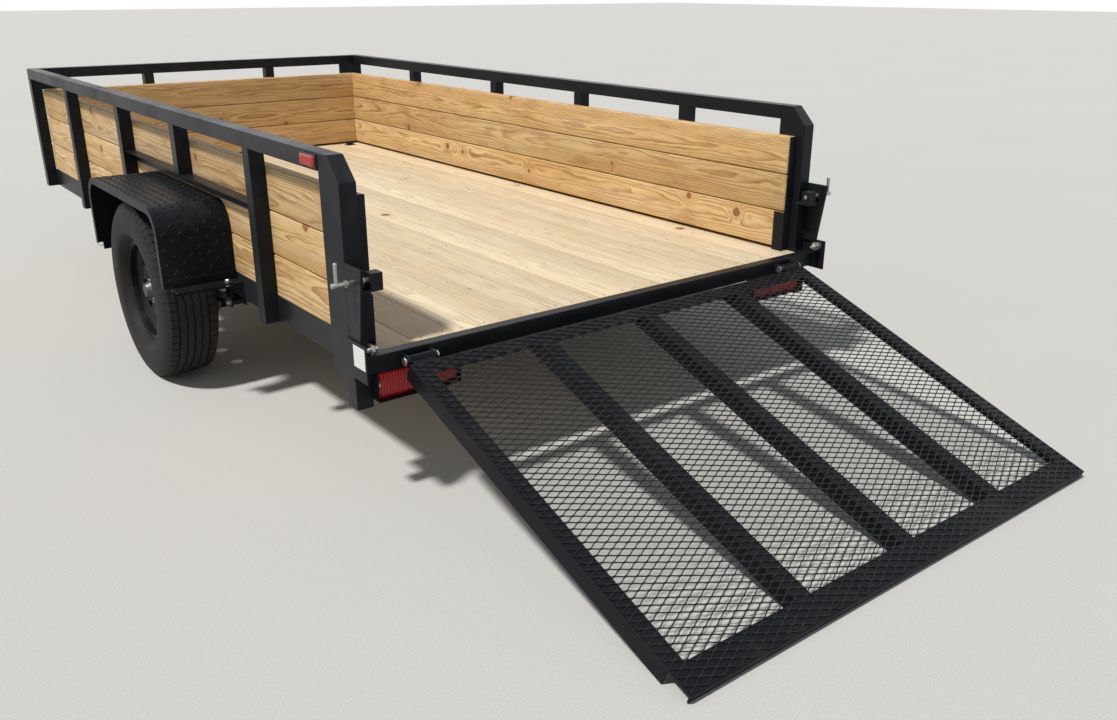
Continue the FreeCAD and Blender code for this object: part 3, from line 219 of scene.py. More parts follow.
def pine(name, pale, golden, late, knots, weather, streaks):
    """Flat-sawn pine cut from a log: rings about a pith line under each board, with knots.

    A board's own across, along and depth in metres are in its grain attribute, and its
    pith's place, tilt and a random number are in pith and seed. Knots is the share of
    cells with a knot, weather the grey of the fibres and streaks the weight of the lines.
    """
    g = coat(name)
    local = g.attribute("grain", "Vector")
    seed = g.attribute("seed")
    far = {"X": g.times(seed, 31), "Y": g.times(seed, 57), "Z": g.times(seed, 83)}
    far = g.add("CombineXYZ", far).outputs[0]
    free = g.add("VectorMath", enumerate((local, far)), operation="ADD").outputs[0]
    across, along, depth = g.split(local)
    side, below, tilt = g.split(g.attribute("pith", "Vector"))

    spread = g.stretch(free, (KNOT_CELLS, KNOT_CELLS, 0))
    cells = g.add("TexVoronoi", {"Vector": spread, "Scale": 1}, voronoi_dimensions="2D")
    away = g.over(cells.outputs["Distance"], KNOT_CELLS)
    pick = g.add("SeparateColor", {"Color": cells.outputs["Color"]}).outputs
    here = g.math("LESS_THAN", pick[0], knots)
    size = g.remap(pick[1], 0, 1, *KNOT_SIZES)
    swell = g.math("POWER", 2.7183, g.times(g.math("POWER", g.over(away, KNOT_REACH), 2), -1))

    # Distance from the pith, bent by noise and by the knots, then cut into rings.
    slow = g.streaks(free, (5, 0.9, 5), 3, 0.55)
    fast = g.streaks(free, (26, 3.2, 26), 4, 0.6)
    u = g.plus(g.minus(across, side), g.times(along, g.times(tilt, 0.6)))
    w = g.plus(g.plus(depth, below), g.times(along, tilt))
    radius = g.math("SQRT", g.plus(g.times(u, u), g.times(w, w)))
    radius = g.plus(radius, g.times(g.minus(slow, 0.5), 0.05))
    radius = g.plus(radius, g.times(g.minus(fast, 0.5), 0.0065))
    radius = g.plus(radius, g.times(g.times(swell, here), 0.024))
    ring = g.math("FRACT", g.over(radius, RING_PITCH))
    band = g.ramp(ring, (0, 0.1), (0.35, 0.14), (0.72, 0.62), (0.9, 1), (0.97, 0.75), (1, 0.1))

    # Colour of the wood, from broad tones to fine lines.
    fibre = g.streaks(free, (900, 14, 900), 3, 0.6)
    streak = g.streaks(free, (70, 1.6, 70), 3, 0.6)
    tone = g.streaks(free, (6, 0.8, 6), 2)
    body = g.mix(g.remap(tone, 0.3, 0.7), pale, golden)
    blotch = g.streaks(free, (30, 5.5, 30), 5, 0.7, (7, 1, 2))
    body = g.mix(g.remap(blotch, 0.46, 0.7, 0, 0.5), body, late)
    wood = g.mix(g.times(band, g.remap(fast, 0.25, 0.7, 0.45, 1)), body, late)
    wood = g.mix(g.remap(streak, 0.45, 0.75, 0, 0.35), wood, shade(golden, 0.8))
    line = g.streaks(free, (130, 1.1, 130), 2, 0.5, (4, 2, 8))
    wood = g.mix(g.remap(line, 0.5, 0.68, 0, streaks), wood, shade(late, 0.84))
    lift = g.remap(g.math("FRACT", g.times(seed, 7.31)), 0, 1, 0.9, 1.08)
    lift = g.add("CombineColor", {0: lift, 1: lift, 2: lift}).outputs[0]
    wood = g.mix(1, wood, lift, "MULTIPLY")
    wood = g.mix(g.times(fibre, weather), wood, (0.36, 0.31, 0.27))
    heart = g.streaks(free, (18, 0.7, 18), 4, 0.6, (3, 9, 5))
    wood = g.mix(g.remap(heart, 0.52, 0.74, 0, 0.42), wood, (0.74, 0.53, 0.4))

    # Knots: a ringed core, a dark rim and a stain round it.
    core = g.times(here, g.remap(g.minus(away, size), 0.0025, -0.0015))
    rim = g.times(here, g.remap(g.math("ABSOLUTE", g.minus(away, size)), 0.0024, 0))
    rays = g.math("FRACT", g.over(g.plus(away, g.times(fast, 0.004)), RAY_PITCH))
    knot = g.mix(rays, (0.3, 0.115, 0.035), (0.17, 0.055, 0.018))
    wood = g.mix(core, wood, knot)
    wood = g.mix(g.times(rim, 0.75), wood, (0.1, 0.035, 0.014))
    stain = g.times(g.times(swell, here), 0.28)
    wood = g.mix(stain, wood, (0.46, 0.2, 0.06))
    height = g.plus(g.times(band, 0.5), g.times(fibre, 0.6))
    gloss = g.remap(band, 0, 1, 0.66, 0.52)
    return g.finish(Base_Color=wood, Roughness=gloss, Normal=g.bump(height, 0.00035))


def rubber(name):
    """Tyre rubber: matt and cloudy, with paler dust."""
    g = coat(name)
    at = g.place()
    cloud = g.noise(at, 14, 5, 0.6)
    grit = g.noise(at, 420, 2)
    tint = g.mix(g.remap(cloud, 0.35, 0.75, 0, 0.55), (0.014, 0.014, 0.015), (0.036, 0.035, 0.033))
    return g.finish(Base_Color=tint, Roughness=g.remap(cloud, 0.3, 0.7, 0.62, 0.84),
                    Normal=g.bump(grit, 0.00018), Specular_IOR_Level=0.22)


def lens(name, colour):
    """Lamp lens: deep glossy plastic, darker where it turns away."""
    g = coat(name)
    at = g.place()
    deep = g.noise(at, 60, 2)
    edge = g.add("LayerWeight", {"Blend": 0.35}).outputs["Facing"]
    tint = g.mix(edge, colour, shade(colour, 0.35))
    tint = g.mix(g.remap(deep, 0.4, 0.7, 0, 0.25), tint, shade(colour, 1.6))
    return g.finish(Base_Color=tint, Roughness=0.18, Coat_Weight=0.3, Coat_Roughness=0.05)


def plated(name, colour, roughness, patch):
    """Zinc or galvanised steel: metal with crystalline patches, fine scratches and grime."""
    g = coat(name)
    at = g.place()
    cells = g.add("TexVoronoi", {"Vector": at, "Scale": patch}).outputs["Color"]
    cells = g.add("SeparateColor", {"Color": cells}).outputs[0]
    scratch = g.streaks(at, (40, 300, 300), 3, 0.6)
    grime = g.noise(at, 22, 5, 0.65)
    tint = g.mix(g.remap(cells, 0.2, 0.9, 0, 0.5), colour, shade(colour, 0.78))
    tint = g.mix(g.remap(grime, 0.52, 0.8, 0, 0.55), tint, (0.17, 0.14, 0.11))
    return g.finish(Base_Color=tint, Metallic=0.85,
                    Roughness=g.remap(scratch, 0.3, 0.7, roughness - 0.07, roughness + 0.1),
                    Normal=g.bump(scratch, 0.00006))


def plain_plastic(name, colour):
    """Matt plate or moulding with a fine grained surface."""
    g = coat(name)
    at = g.place()
    grit = g.noise(at, 500, 2)
    cloud = g.noise(at, 12, 4)
    tint = g.mix(g.remap(cloud, 0.4, 0.8, 0, 0.3), colour, shade(colour, 0.8))
    return g.finish(Base_Color=tint, Roughness=g.remap(cloud, 0.3, 0.7, 0.42, 0.58),
                    Normal=g.bump(grit, 0.00008))


BLACK = painted("powder_coat", (0.01, 0.0112, 0.014), 0.38)
PLATE = painted("tread_plate_coat", (0.0075, 0.0085, 0.011), 0.38, sheen=0.13)
# The ramp's mesh and bars have one black paint. The mesh strands get a lighter copy as painted light against the
# shade of their tilt, and the bars get a darker copy as painted shade against the sky's reflection on them.
MESH = painted("mesh_coat", (0.0125, 0.0128, 0.014), 0.44, sheen=0.2)
RAMP_STEEL_PAINTED_SHADE = painted("ramp_coat", (0.0052, 0.0058, 0.0078), 0.4, sheen=0.11)
WHEEL = painted("wheel_coat", (0.01, 0.0106, 0.0115), 0.34, dust=0.1)
DECK = pine("deck_pine", (0.9, 0.8, 0.59), (0.86, 0.72, 0.475), (0.62, 0.47, 0.29),
            knots=0.08, weather=0.22, streaks=0.5)
WALL = pine("wall_pine", (0.82, 0.61, 0.305), (0.7, 0.455, 0.18), (0.315, 0.14, 0.042),
            knots=0.26, weather=0.05, streaks=0.22)
RUBBER = rubber("tyre_rubber")
RED = lens("red_lens", (0.5, 0.007, 0.009))
ZINC = plated("zinc", (0.4, 0.4, 0.39), 0.34, 90)
HUB = plated("hub_steel", (0.1, 0.1, 0.1), 0.42, 60)
BRIGHT = plated("bright_steel", (0.8, 0.8, 0.79), 0.22, 140)
WHITE = plain_plastic("blank_plate", (0.8, 0.8, 0.78))
SOCKET = plain_plastic("black_plastic", (0.018, 0.018, 0.019))

FINISHES = {
    "black_paint": BLACK, "tread_plate": PLATE, "mesh_paint": MESH, "wheel_paint": WHEEL,
    "deck_pine": DECK, "wall_pine": WALL, "tyre_rubber": RUBBER, "hub_steel": HUB,
    "zinc_plate": ZINC, "red_lens": RED,
}


# Mesh building

def skin(rings, around=True, looped=False):
    """Quads between rings of equal length; around closes each ring, looped joins last to first."""
    count = len(rings[0])
    faces = []
    for r in range(len(rings) if looped else len(rings) - 1):
        a, b = r * count, (r + 1) % len(rings) * count
        for i in range(count if around else count - 1):
            j = (i + 1) % count
            faces.append((a + i, a + j, b + j, b + i))
    return [v for ring in rings for v in ring], faces


def loft(rings):
    """A solid through closed rings, with flat ends."""
    verts, faces = skin(rings)
    count = len(rings[0])
    ends = [tuple(range(count - 1, -1, -1)), tuple(range(len(verts) - count, len(verts)))]
    return verts, faces + ends


def circle(count, radius=1):
    """Points of a regular polygon about the origin."""
    return [(radius * cos(TAU * i / count), radius * sin(TAU * i / count)) for i in range(count)]


def rounded_rect(width, height, radius, steps):
    """Corner-rounded rectangle about the origin, counter-clockwise."""
    points = []
    for turn, sx, sy in ((0, 1, 1), (90, -1, 1), (180, -1, -1), (270, 1, -1)):
        for k in range(steps + 1):
            angle = radians(turn + 90 * k / steps)
            points.append((sx * (width / 2 - radius) + radius * cos(angle),
                           sy * (height / 2 - radius) + radius * sin(angle)))
    return points


def aim(at, direction, spin=0):
    """Places a shape drawn along +Z at a point, pointing along a direction."""
    turn = Vector(direction).to_track_quat("Z", "Y").to_matrix().to_4x4()
    return Matrix.Translation(at) @ turn @ Matrix.Rotation(spin, 4, "Z")


class Shell:
    """One piece: shapes are added to it, each with the current kind of material, then it is built."""

    def __init__(self):
        self.verts = []
        self.faces = []
        self.kinds = []
        self.kind = 0
        self.attributes = {}

    def add(self, verts, faces, place=None):
        """Adds a shape and returns the number of its first vertex."""
        start = len(self.verts)
        self.verts += [place @ Vector(v) if place else Vector(v) for v in verts]
        self.faces += [tuple(start + i for i in face) for face in faces]
        self.kinds += [self.kind] * len(faces)
        return start

    def mark(self, name, values):
        """Gives the latest vertices their values of an attribute."""
        self.attributes.setdefault(name, []).extend(values)

    def bar(self, low, high, axis, radius, steps=2):
        """A box between two corners, with rounded edges along an axis and eased ends."""
        low, high = Vector(low), Vector(high)
        centre, size = (low + high) / 2, high - low
        p, q = (axis + 1) % 3, (axis + 2) % 3
        rings = []
        for t, inset in ((low[axis], radius), (low[axis] + radius, 0),
                         (high[axis] - radius, 0), (high[axis], radius)):
            ring = []
            for a, b in rounded_rect(size[p] - 2 * inset, size[q] - 2 * inset,
                                     max(radius - inset, radius * 0.35), steps):
                point = [0, 0, 0]
                point[axis], point[p], point[q] = t, centre[p] + a, centre[q] + b
                ring.append(point)
            rings.append(ring)
        return self.add(*loft(rings))

    def lathe(self, profile, segments, at, direction):
        """(along, radius) points turned about a direction; a radius of 0 closes an end."""
        verts, faces, rows = [], [], []
        for z, r in profile:
            if r <= 0:
                rows.append([len(verts)])
                verts.append((0, 0, z))
            else:
                rows.append(list(range(len(verts), len(verts) + segments)))
                verts += [(x, y, z) for x, y in circle(segments, r)]
        for a, b in zip(rows, rows[1:]):
            for i in range(segments):
                j = (i + 1) % segments
                if len(a) == 1:
                    faces.append((a[0], b[j], b[i]))
                elif len(b) == 1:
                    faces.append((a[i], a[j], b[0]))
                else:
                    faces.append((a[i], a[j], b[j], b[i]))
        self.add(verts, faces, aim(at, direction))

    def sweep(self, points, radius, segments, lift=None):
        """A round bar along points; lift gives each point its own radius factor."""
        points = [Vector(p) for p in points]
        rings = []
        side = None
        for i, p in enumerate(points):
            ahead = (points[min(i + 1, len(points) - 1)] - points[max(i - 1, 0)]).normalized()
            if side is None:
                side = ahead.orthogonal().normalized()
            side = (side - ahead * side.dot(ahead)).normalized()
            other = ahead.cross(side)
            r = radius * (lift[i] if lift else 1)
            rings.append([p + r * (c * side + s * other) for c, s in circle(segments)])
        self.add(*loft(rings))

    def hex_head(self, across, height, at, direction, spin):
        """A chamfered hexagon head or nut."""
        rings = [[(x * k, y * k, z) for x, y in circle(6, across / sqrt(3))]
                 for z, k in ((0, 0.96), (height * 0.08, 1), (height * 0.82, 1), (height, 0.84))]
        self.add(*loft(rings), aim(at, direction, spin))

    def bolt(self, at, out, across, height, spin=0):
        """A hexagon head on its washer, standing on a face."""
        out = Vector(out)
        self.lathe([(0, 0), (0, across * 0.86), (across * 0.12, across * 0.86),
                    (across * 0.16, across * 0.78), (across * 0.16, 0)], 20, at, out)
        self.hex_head(across, height, Vector(at) + out * across * 0.15, out, spin)

    def screw(self, at, out, radius):
        """A shallow pan head with a dished top."""
        self.lathe([(-0.0002, radius), (radius * 0.16, radius * 0.97), (radius * 0.42, radius * 0.62),
                    (radius * 0.44, radius * 0.4), (radius * 0.22, radius * 0.3), (radius * 0.2, 0)],
                   12, at, out)

    def bead(self, start, end, radius, rng):
        """A weld bead: overlapping ripples along a line."""
        start, end = Vector(start), Vector(end)
        steps = max(4, int((end - start).length / 0.0032))
        points, lift = [], []
        for i in range(steps + 1):
            wander = Vector((rng.uniform(-1, 1), rng.uniform(-1, 1), rng.uniform(-1, 1))) * radius * 0.1
            points.append(start.lerp(end, i / steps) + wander)
            ripple = (0.8 if i % 2 else 1.08) * rng.uniform(0.92, 1.06)
            lift.append(ripple * (0.5 if i in (0, steps) else 1))
        self.sweep(points, radius, 7, lift)

    def ring_bead(self, at, ring, radius, rng):
        """A weld bead round an upright tube."""
        count, sides = 64, 7
        verts, faces = [], []
        for i, (x, y) in enumerate(circle(count)):
            thick = radius * (0.82 if i % 2 else 1.08) * rng.uniform(0.94, 1.05)
            for c, s in circle(sides):
                reach = ring + thick * c
                verts.append((at[0] + x * reach, at[1] + y * reach, at[2] + thick * s))
            j = (i + 1) % count
            for k in range(sides):
                m = (k + 1) % sides
                faces.append((i * sides + k, j * sides + k, j * sides + m, i * sides + m))
        self.add(verts, faces)

    def build(self, name, materials, replaces=None, sharp=35, body="chassis"):
        """The piece as an object on its body; kinds are numbers in the list of materials."""
        mesh = bpy.data.meshes.new(name)
        mesh.from_pydata([tuple(v) for v in self.verts], [], self.faces)
        for material in materials:
            mesh.materials.append(material)
        mesh.polygons.foreach_set("material_index", self.kinds)
        mesh.polygons.foreach_set("use_smooth", [True] * len(mesh.polygons))
        for key, values in self.attributes.items():
            if isinstance(values[0], tuple):
                data = mesh.attributes.new(key, "FLOAT_VECTOR", "POINT").data
                data.foreach_set("vector", [c for v in values for c in v])
            else:
                mesh.attributes.new(key, "FLOAT", "POINT").data.foreach_set("value", values)
        mesh.update()
        mesh.set_sharp_from_angle(angle=radians(sharp))
        piece = bpy.data.objects.new(name, mesh)
        scene.collection.objects.link(piece)
        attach(piece, body)
        if replaces:
            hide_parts(replaces)


# Finish of the CAD nodes: each keeps its shape, gets its slot's material and eased edges

def soften(obj, width):
    """Merges the loaded mesh's split faces and rounds its sharp edges."""
    for kind, settings in (("WELD", {"merge_threshold": 0.00002}),
                           ("BEVEL", {"width": width, "segments": 2, "limit_method": "ANGLE",
                                      "angle_limit": radians(32)}),
                           ("WEIGHTED_NORMAL", {"weight": 70})):
        modifier = obj.modifiers.new(kind.lower(), kind)
        for key, value in settings.items():
            setattr(modifier, key, value)


for row in frame["record"]["subparts"]:
    coats = nodes[row["node"]].data.materials
    coats.clear()
    # The ramp frame gets the darker copy of the black: painted shade against the sky's reflection on its bars.
    coats.append(RAMP_STEEL_PAINTED_SHADE if row["node"] == "ramp_frame" else FINISHES[row["material_slot"]])


# Boards

X, Y, Z = 0, 1, 2
DECK_COUNT = 13


def lay_boards(name, node, count, axis, stack, material, order, gap, eased):
    """Separate boards in a node's box, long in axis and laid side by side in stack."""
    low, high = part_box(node)
    rng = random.Random(order)
    thick = X + Y + Z - axis - stack
    pitch = (high[stack] - low[stack] + gap) / count
    shell = Shell()
    for i in range(count):
        a, b = low.copy(), high.copy()
        a[stack] = low[stack] + pitch * i
        b[stack] = a[stack] + pitch - gap
        start = shell.bar(a, b, axis, eased, 3)
        middle = (a + b) / 2
        flip = rng.choice((-1, 1))
        end = rng.choice((-1, 1))
        offsets = [v - middle for v in shell.verts[start:]]
        pith = (rng.uniform(-0.03, 0.03), rng.uniform(0.045, 0.105), rng.uniform(-0.012, 0.012))
        shell.mark("grain", [(off[stack], off[axis] * end, off[thick] * flip) for off in offsets])
        shell.mark("pith", [pith] * len(offsets))
        shell.mark("seed", [rng.random()] * len(offsets))
    shell.build(name, [material], replaces=node)


lay_boards("deck_board_planks", "deck_boards", DECK_COUNT, Y, X, DECK, 5, 0.002, 0.0026)
for side, axis, order in (("left", Y, 21), ("right", Y, 34), ("front", X, 48)):
    lay_boards("wall_planks_" + side, "wall_boards_" + side, 3, axis, Z, WALL, order,
               0.0032, 0.0052)


# Tyres

TREAD_GROOVES = (-0.054, -0.027, 0, 0.027, 0.054)
GROOVE_HALF = 0.003
GROOVE_DEEP = 0.0075
GROOVE_WANDER = 0.0012
TREAD_SHARE = 0.8  # of the tyre's width
TREAD_PITCHES = 64
# Where each pitch has its stations, as a share of it, and which of them are cut by a shoulder slot.
PITCH_STATIONS = ((0, True), (0.08, True), (0.12, False), (0.54, False), (0.96, False))
SLOT_DEEP = 0.0035


def smooth_path(points, steps):
    """Points on a Catmull-Rom curve through the given (x, y) points."""
    found = []
    for i in range(len(points) - 1):
        p0, p1 = points[max(i - 1, 0)], points[i]
        p2, p3 = points[i + 1], points[min(i + 2, len(points) - 1)]
        for k in range(steps):
            t = k / steps
            found.append(tuple(0.5 * (2 * b + (c - a) * t + (2 * a - 5 * b + 4 * c - d) * t * t
                                      + (3 * b - a - 3 * c + d) * t ** 3)
                               for a, b, c, d in zip(p0, p1, p2, p3)))
    return found + [points[-1]]


def make_tyre(side, sign):
    """Tyre turned from its section, with grooves round it and slots across its shoulders."""
    low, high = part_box("tyre_" + side)
    centre = (low + high) / 2
    radius = (high.z - low.z) / 2
    half = (high.x - low.x) / 2
    rim_low, rim_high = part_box("wheel_" + side)
    flange = (rim_high.z - rim_low.z) / 2
    bead = (rim_high.x - rim_low.x) / 2 - 0.0045
    outer = smooth_path([(bead, flange - 0.013), (bead + 0.001, flange + 0.001),
                         (bead + 0.01, flange + 0.006), (half * 0.93, flange + 0.022),
                         (half * 0.995, flange + 0.047), (half * 0.985, radius - 0.052),
                         (half * 0.93, radius - 0.026), (half * 0.86, radius - 0.0125)], 4)
    # Raised rings on the sidewall, at its foot and above its blank band.
    raised = (flange + 0.012, flange + 0.019, radius - 0.036, radius - 0.03)
    ribbed = []
    for x, r in outer:
        proud = 0.0009 * sum(exp(-((r - ring) / 0.0016) ** 2) for ring in raised)
        ribbed.append((x + proud * 0.6, min(r, radius)))
    edge = half * TREAD_SHARE
    tread = [edge] + [groove + GROOVE_HALF * k for groove in reversed(TREAD_GROOVES)
                      for k in (1, 0.7, -0.7, -1)] + [-edge]
    crown = []
    for x in tread:
        deep = any(abs(x - groove) < GROOVE_HALF * 0.9 for groove in TREAD_GROOVES)
        r = radius - 0.0035 * (abs(x) / edge) ** 2.4 - (GROOVE_DEEP if deep else 0)
        crown.append((x, min(r, radius)))
    profile = ([(x, r, False) for x, r in ribbed] + [(x, r, True) for x, r in crown]
               + [(-x, r, False) for x, r in reversed(ribbed)])
    inner = smooth_path([(-bead, flange - 0.013), (-bead + 0.01, flange + 0.002), (0, flange + 0.004),
                         (bead - 0.01, flange + 0.002), (bead, flange - 0.013)], 2)

    def point(x, r, turn):
        return centre.x + x * sign, centre.y + r * cos(turn), centre.z + r * sin(turn)

    outside, inside = [], []
    for i in range(TREAD_PITCHES):
        for part, slot in PITCH_STATIONS:
            turn = (i + part) * (TAU / TREAD_PITCHES)
            ring = []
            for x, r, on_crown in profile:
                on_shoulder = abs(x) > TREAD_GROOVES[-1] + GROOVE_HALF * 0.5 and r > radius - 0.022
                wander = 0
                if on_crown and abs(x) < 0.034:
                    wander = -GROOVE_WANDER if i % 2 else GROOVE_WANDER
                ring.append(point(x + wander, r - (SLOT_DEEP if slot and on_shoulder else 0), turn))
            outside.append(ring)
            inside.append([point(x, r, turn) for x, r in inner])
    shell = Shell()
    for rings in (outside, inside):
        verts, faces = skin(rings, around=False, looped=True)
        shell.add(verts, faces if sign < 0 else [quad[::-1] for quad in faces])
    shell.build("tyre_" + side + "_tread", [RUBBER], replaces="tyre_" + side,
                sharp=32, body=side + "_wheel")


for side, sign in SIDES:
    make_tyre(side, sign)


# Wheel nuts and grease cap ring

STUD_CIRCLE = 0.05715
STUD_COUNT = 5


def make_wheel_trim(side, sign):
    """Nuts with washers and stud ends on the wheel's face, and the ring round the grease cap."""
    low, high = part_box("tyre_" + side)
    centre = (low + high) / 2
    out = Vector((sign, 0, 0))
    hub_low, hub_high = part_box("hub_" + side)
    cap_x = hub_high.x if sign > 0 else hub_low.x
    shell = Shell()
    for i, (y, z) in enumerate(circle(STUD_COUNT, STUD_CIRCLE)):
        at = centre + Vector((sign * 0.011, y, z))
        shell.lathe([(0, 0), (0, 0.0145), (0.002, 0.0145), (0.004, 0.0118), (0.004, 0)], 20, at, out)
        shell.hex_head(0.0205, 0.017, at + out * 0.004, out, TAU * i / STUD_COUNT)
        shell.lathe([(0, 0.0075), (0.001, 0.0085), (0.008, 0.0066), (0.0115, 0)], 16,
                    at + out * 0.0208, out)
    shell.lathe([(0, 0.0368), (0, 0.0392), (0.003, 0.04), (0.006, 0.0392), (0.007, 0.0355)], 40,
                (cap_x - sign * 0.031, centre.y, centre.z), out)
    shell.build("wheel_nuts_" + side, [BRIGHT], body=side + "_wheel")


for side, sign in SIDES:
    make_wheel_trim(side, sign)


# Ramp mesh: flattened expanded metal over the ramp's bars

DIAMOND_LONG = 0.05
DIAMOND_SHORT = 0.023
STRAND_WIDE = 0.003
STRAND_THICK = 0.0021
STRAND_TILT = radians(24)
BOND_HALF = 0.0042
MESH_EDGE = 0.006


def make_ramp_mesh():
    """Rows of zigzag strands joined at their bonds, each strand tilted as the press leaves it."""
    corners = [v.co for v in nodes["ramp_mesh"].data.vertices]
    near, far = max(corners, key=lambda p: p.z), min(corners, key=lambda p: p.y)
    slope = atan2(near.z - far.z, near.y - far.y)
    ramp = Matrix.Translation(Vector(pivots["ramp_hinge"])) @ Matrix.Rotation(slope, 4, "X")
    inverse = ramp.inverted()
    xs, ys, zs = zip(*(inverse @ p for p in corners))
    x_low, x_high = min(xs) + MESH_EDGE, max(xs) - MESH_EDGE
    y_low, y_high = min(ys) + MESH_EDGE, max(ys) - MESH_EDGE
    middle = (min(zs) + max(zs)) / 2
    rows = int((y_high - y_low) / (DIAMOND_SHORT / 2))
    halves = int((x_high - x_low) / (DIAMOND_LONG / 2))
    pitch_x = (x_high - x_low) / halves
    pitch_y = (y_high - y_low) / rows
    reach = pitch_y / 2 - STRAND_WIDE * 0.42
    wide = Vector((0, cos(STRAND_TILT), sin(STRAND_TILT))) * (STRAND_WIDE / 2)
    high = Vector((0, -sin(STRAND_TILT), cos(STRAND_TILT))) * (STRAND_THICK / 2)
    shell = Shell()
    for k in range(rows):
        y = y_low + pitch_y * (k + 0.5)
        rings = []
        for i in range(halves + 1):
            sign = 1 if (i + k) % 2 else -1
            x = x_low + pitch_x * i
            for s in (x - BOND_HALF, x + BOND_HALF) if 0 < i < halves else (x,):
                at = Vector((s, y + sign * reach, middle))
                rings.append([at + wide + high, at - wide + high, at - wide - high, at + wide - high])
        shell.add(*loft(rings), ramp)
    shell.build("ramp_mesh_strands", [MESH], replaces="ramp_mesh", sharp=30,
                body="ramp_gate")


make_ramp_mesh()


# Fender tread plate: raised lozenges in alternating directions

LUG_PITCH = 0.0265
LUG_LONG = 0.0115
LUG_WIDE = 0.0034
LUG_HIGH = 0.0014
LUG_MARGIN = 0.006  # at the plate's sides
LUG_END = 0.01  # at the ends of the path
FENDER_BEND = 0.095
FENDER_HALF = 0.42
FENDER_FOOT = 0.444


def lozenge(long, wide, high):
    """A low pointed ridge with sloping sides, lying along x on z = 0."""
    base = [(long, 0), (long * 0.5, wide), (-long * 0.5, wide),
            (-long, 0), (-long * 0.5, -wide), (long * 0.5, -wide)]
    return loft([[(x, y, -0.0002) for x, y in base], [(x * 0.78, y * 0.5, high) for x, y in base]])


def make_fender_lugs(side, sign):
    """Lozenges up the fender's rear, over its bends and top and down its front."""
    low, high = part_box("fender_" + side)
    outer = high.x if sign > 0 else -low.x
    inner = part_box("side_frame_right")[1].x + 0.008
    wheel_y = pivots[side + "_wheel_spin"][1]
    bend_z = high.z - FENDER_BEND
    flat = FENDER_HALF - FENDER_BEND
    rise = bend_z - FENDER_FOOT
    arc = FENDER_BEND * pi / 2
    path = 2 * flat + 2 * arc + 2 * rise
    width, length = outer - inner - 2 * LUG_MARGIN, path - 2 * LUG_END
    rows, columns = int(length / LUG_PITCH), int(width / LUG_PITCH)
    shell = Shell()
    for r in range(rows):
        s = (r + 0.5) * length / rows + LUG_END
        end = -1 if s < path / 2 else 1
        s = min(s, path - s)
        if s < rise:
            y, z, turn = FENDER_HALF, FENDER_FOOT + s, -90
        elif s < rise + arc:
            a = (s - rise) / FENDER_BEND
            y, z = flat + FENDER_BEND * cos(a), bend_z + FENDER_BEND * sin(a)
            turn = degrees(a) - 90
        else:
            y, z, turn = rise + arc + flat - s, high.z, 0
        for c in range(columns):
            x = (inner + LUG_MARGIN + width / columns * (c + 0.5)) * sign
            lean = radians(45 if (r + c) % 2 else -45)
            place = (Matrix.Translation((x, wheel_y + y * end, z))
                     @ Matrix.Rotation(radians(turn * end), 4, "X") @ Matrix.Rotation(lean, 4, "Z"))
            shell.add(*lozenge(LUG_LONG, LUG_WIDE, LUG_HIGH), place)
    shell.build("fender_lugs_" + side, [PLATE], sharp=20)


for side, sign in SIDES:
    make_fender_lugs(side, sign)


# Lamps

TAIL_RIBS = 26
MARKER_RIBS = 9


def make_tail_lamp(side):
    """Ribbed red lens with a bar in the middle and a screw at each end."""
    low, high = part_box("tail_lamp_" + side)
    middle = (low + high) / 2
    shell = Shell()
    shell.bar((low.x, low.y + 0.004, low.z), high, X, 0.004, 3)
    for i in range(TAIL_RIBS):
        x = low.x + 0.012 + (high.x - low.x - 0.024) * (i + 0.5) / TAIL_RIBS
        shell.bar((x - 0.0026, low.y + 0.0012, low.z + 0.009),
                  (x + 0.0026, low.y + 0.008, high.z - 0.009), Z, 0.0018)
    shell.bar((middle.x - 0.003, low.y, low.z + 0.004),
              (middle.x + 0.003, low.y + 0.008, high.z - 0.004), Z, 0.002)
    shell.kind = 1
    for x in (low.x + 0.007, high.x - 0.007):
        shell.lathe([(0, 0.0048), (0.0016, 0.0048), (0.0028, 0.003), (0.0028, 0)], 16,
                    (x, low.y + 0.0042, middle.z), (0, -1, 0))
    shell.build("tail_lamp_lens_" + side, [RED, BRIGHT], replaces="tail_lamp_" + side)


def make_marker(side, sign):
    """Small clearance lamp: black base and a domed, ribbed red lens."""
    low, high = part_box("side_marker_" + side)
    base_x = low.x if sign > 0 else high.x
    depth = high.x - low.x
    shell = Shell()

    def slab(start, end, y_low, y_high, margin, axis, radius, steps):
        """A bar from one share of the lamp's depth to another."""
        near, far = sorted((base_x + sign * depth * start, base_x + sign * depth * end))
        shell.bar((near, y_low, low.z + margin), (far, y_high, high.z - margin), axis, radius, steps)

    slab(0, 0.94, low.y + 0.004, high.y - 0.004, 0.004, Y, 0.0042, 3)
    for i in range(MARKER_RIBS):
        y = low.y + 0.01 + (high.y - low.y - 0.02) * (i + 0.5) / MARKER_RIBS
        slab(0.86, 1, y - 0.0018, y + 0.0018, 0.009, Z, 0.0006, 1)
    shell.kind = 1
    slab(0, 0.42, low.y, high.y, 0, Y, 0.002, 3)
    for y in (low.y + 0.004, high.y - 0.004):
        shell.lathe([(0, 0.003), (0.0012, 0.003), (0.002, 0.0016), (0.002, 0)], 12,
                    (base_x + sign * depth * 0.42, y, (low.z + high.z) / 2), (sign, 0, 0))
    shell.build("side_marker_lens_" + side, [RED, SOCKET],
                replaces="side_marker_" + side)


for side, sign in SIDES:
    make_tail_lamp(side)
    make_marker(side, sign)


# Small parts: blank plate, rail plugs, screws, weld beads, spring clamps, fixings and tie-down rings

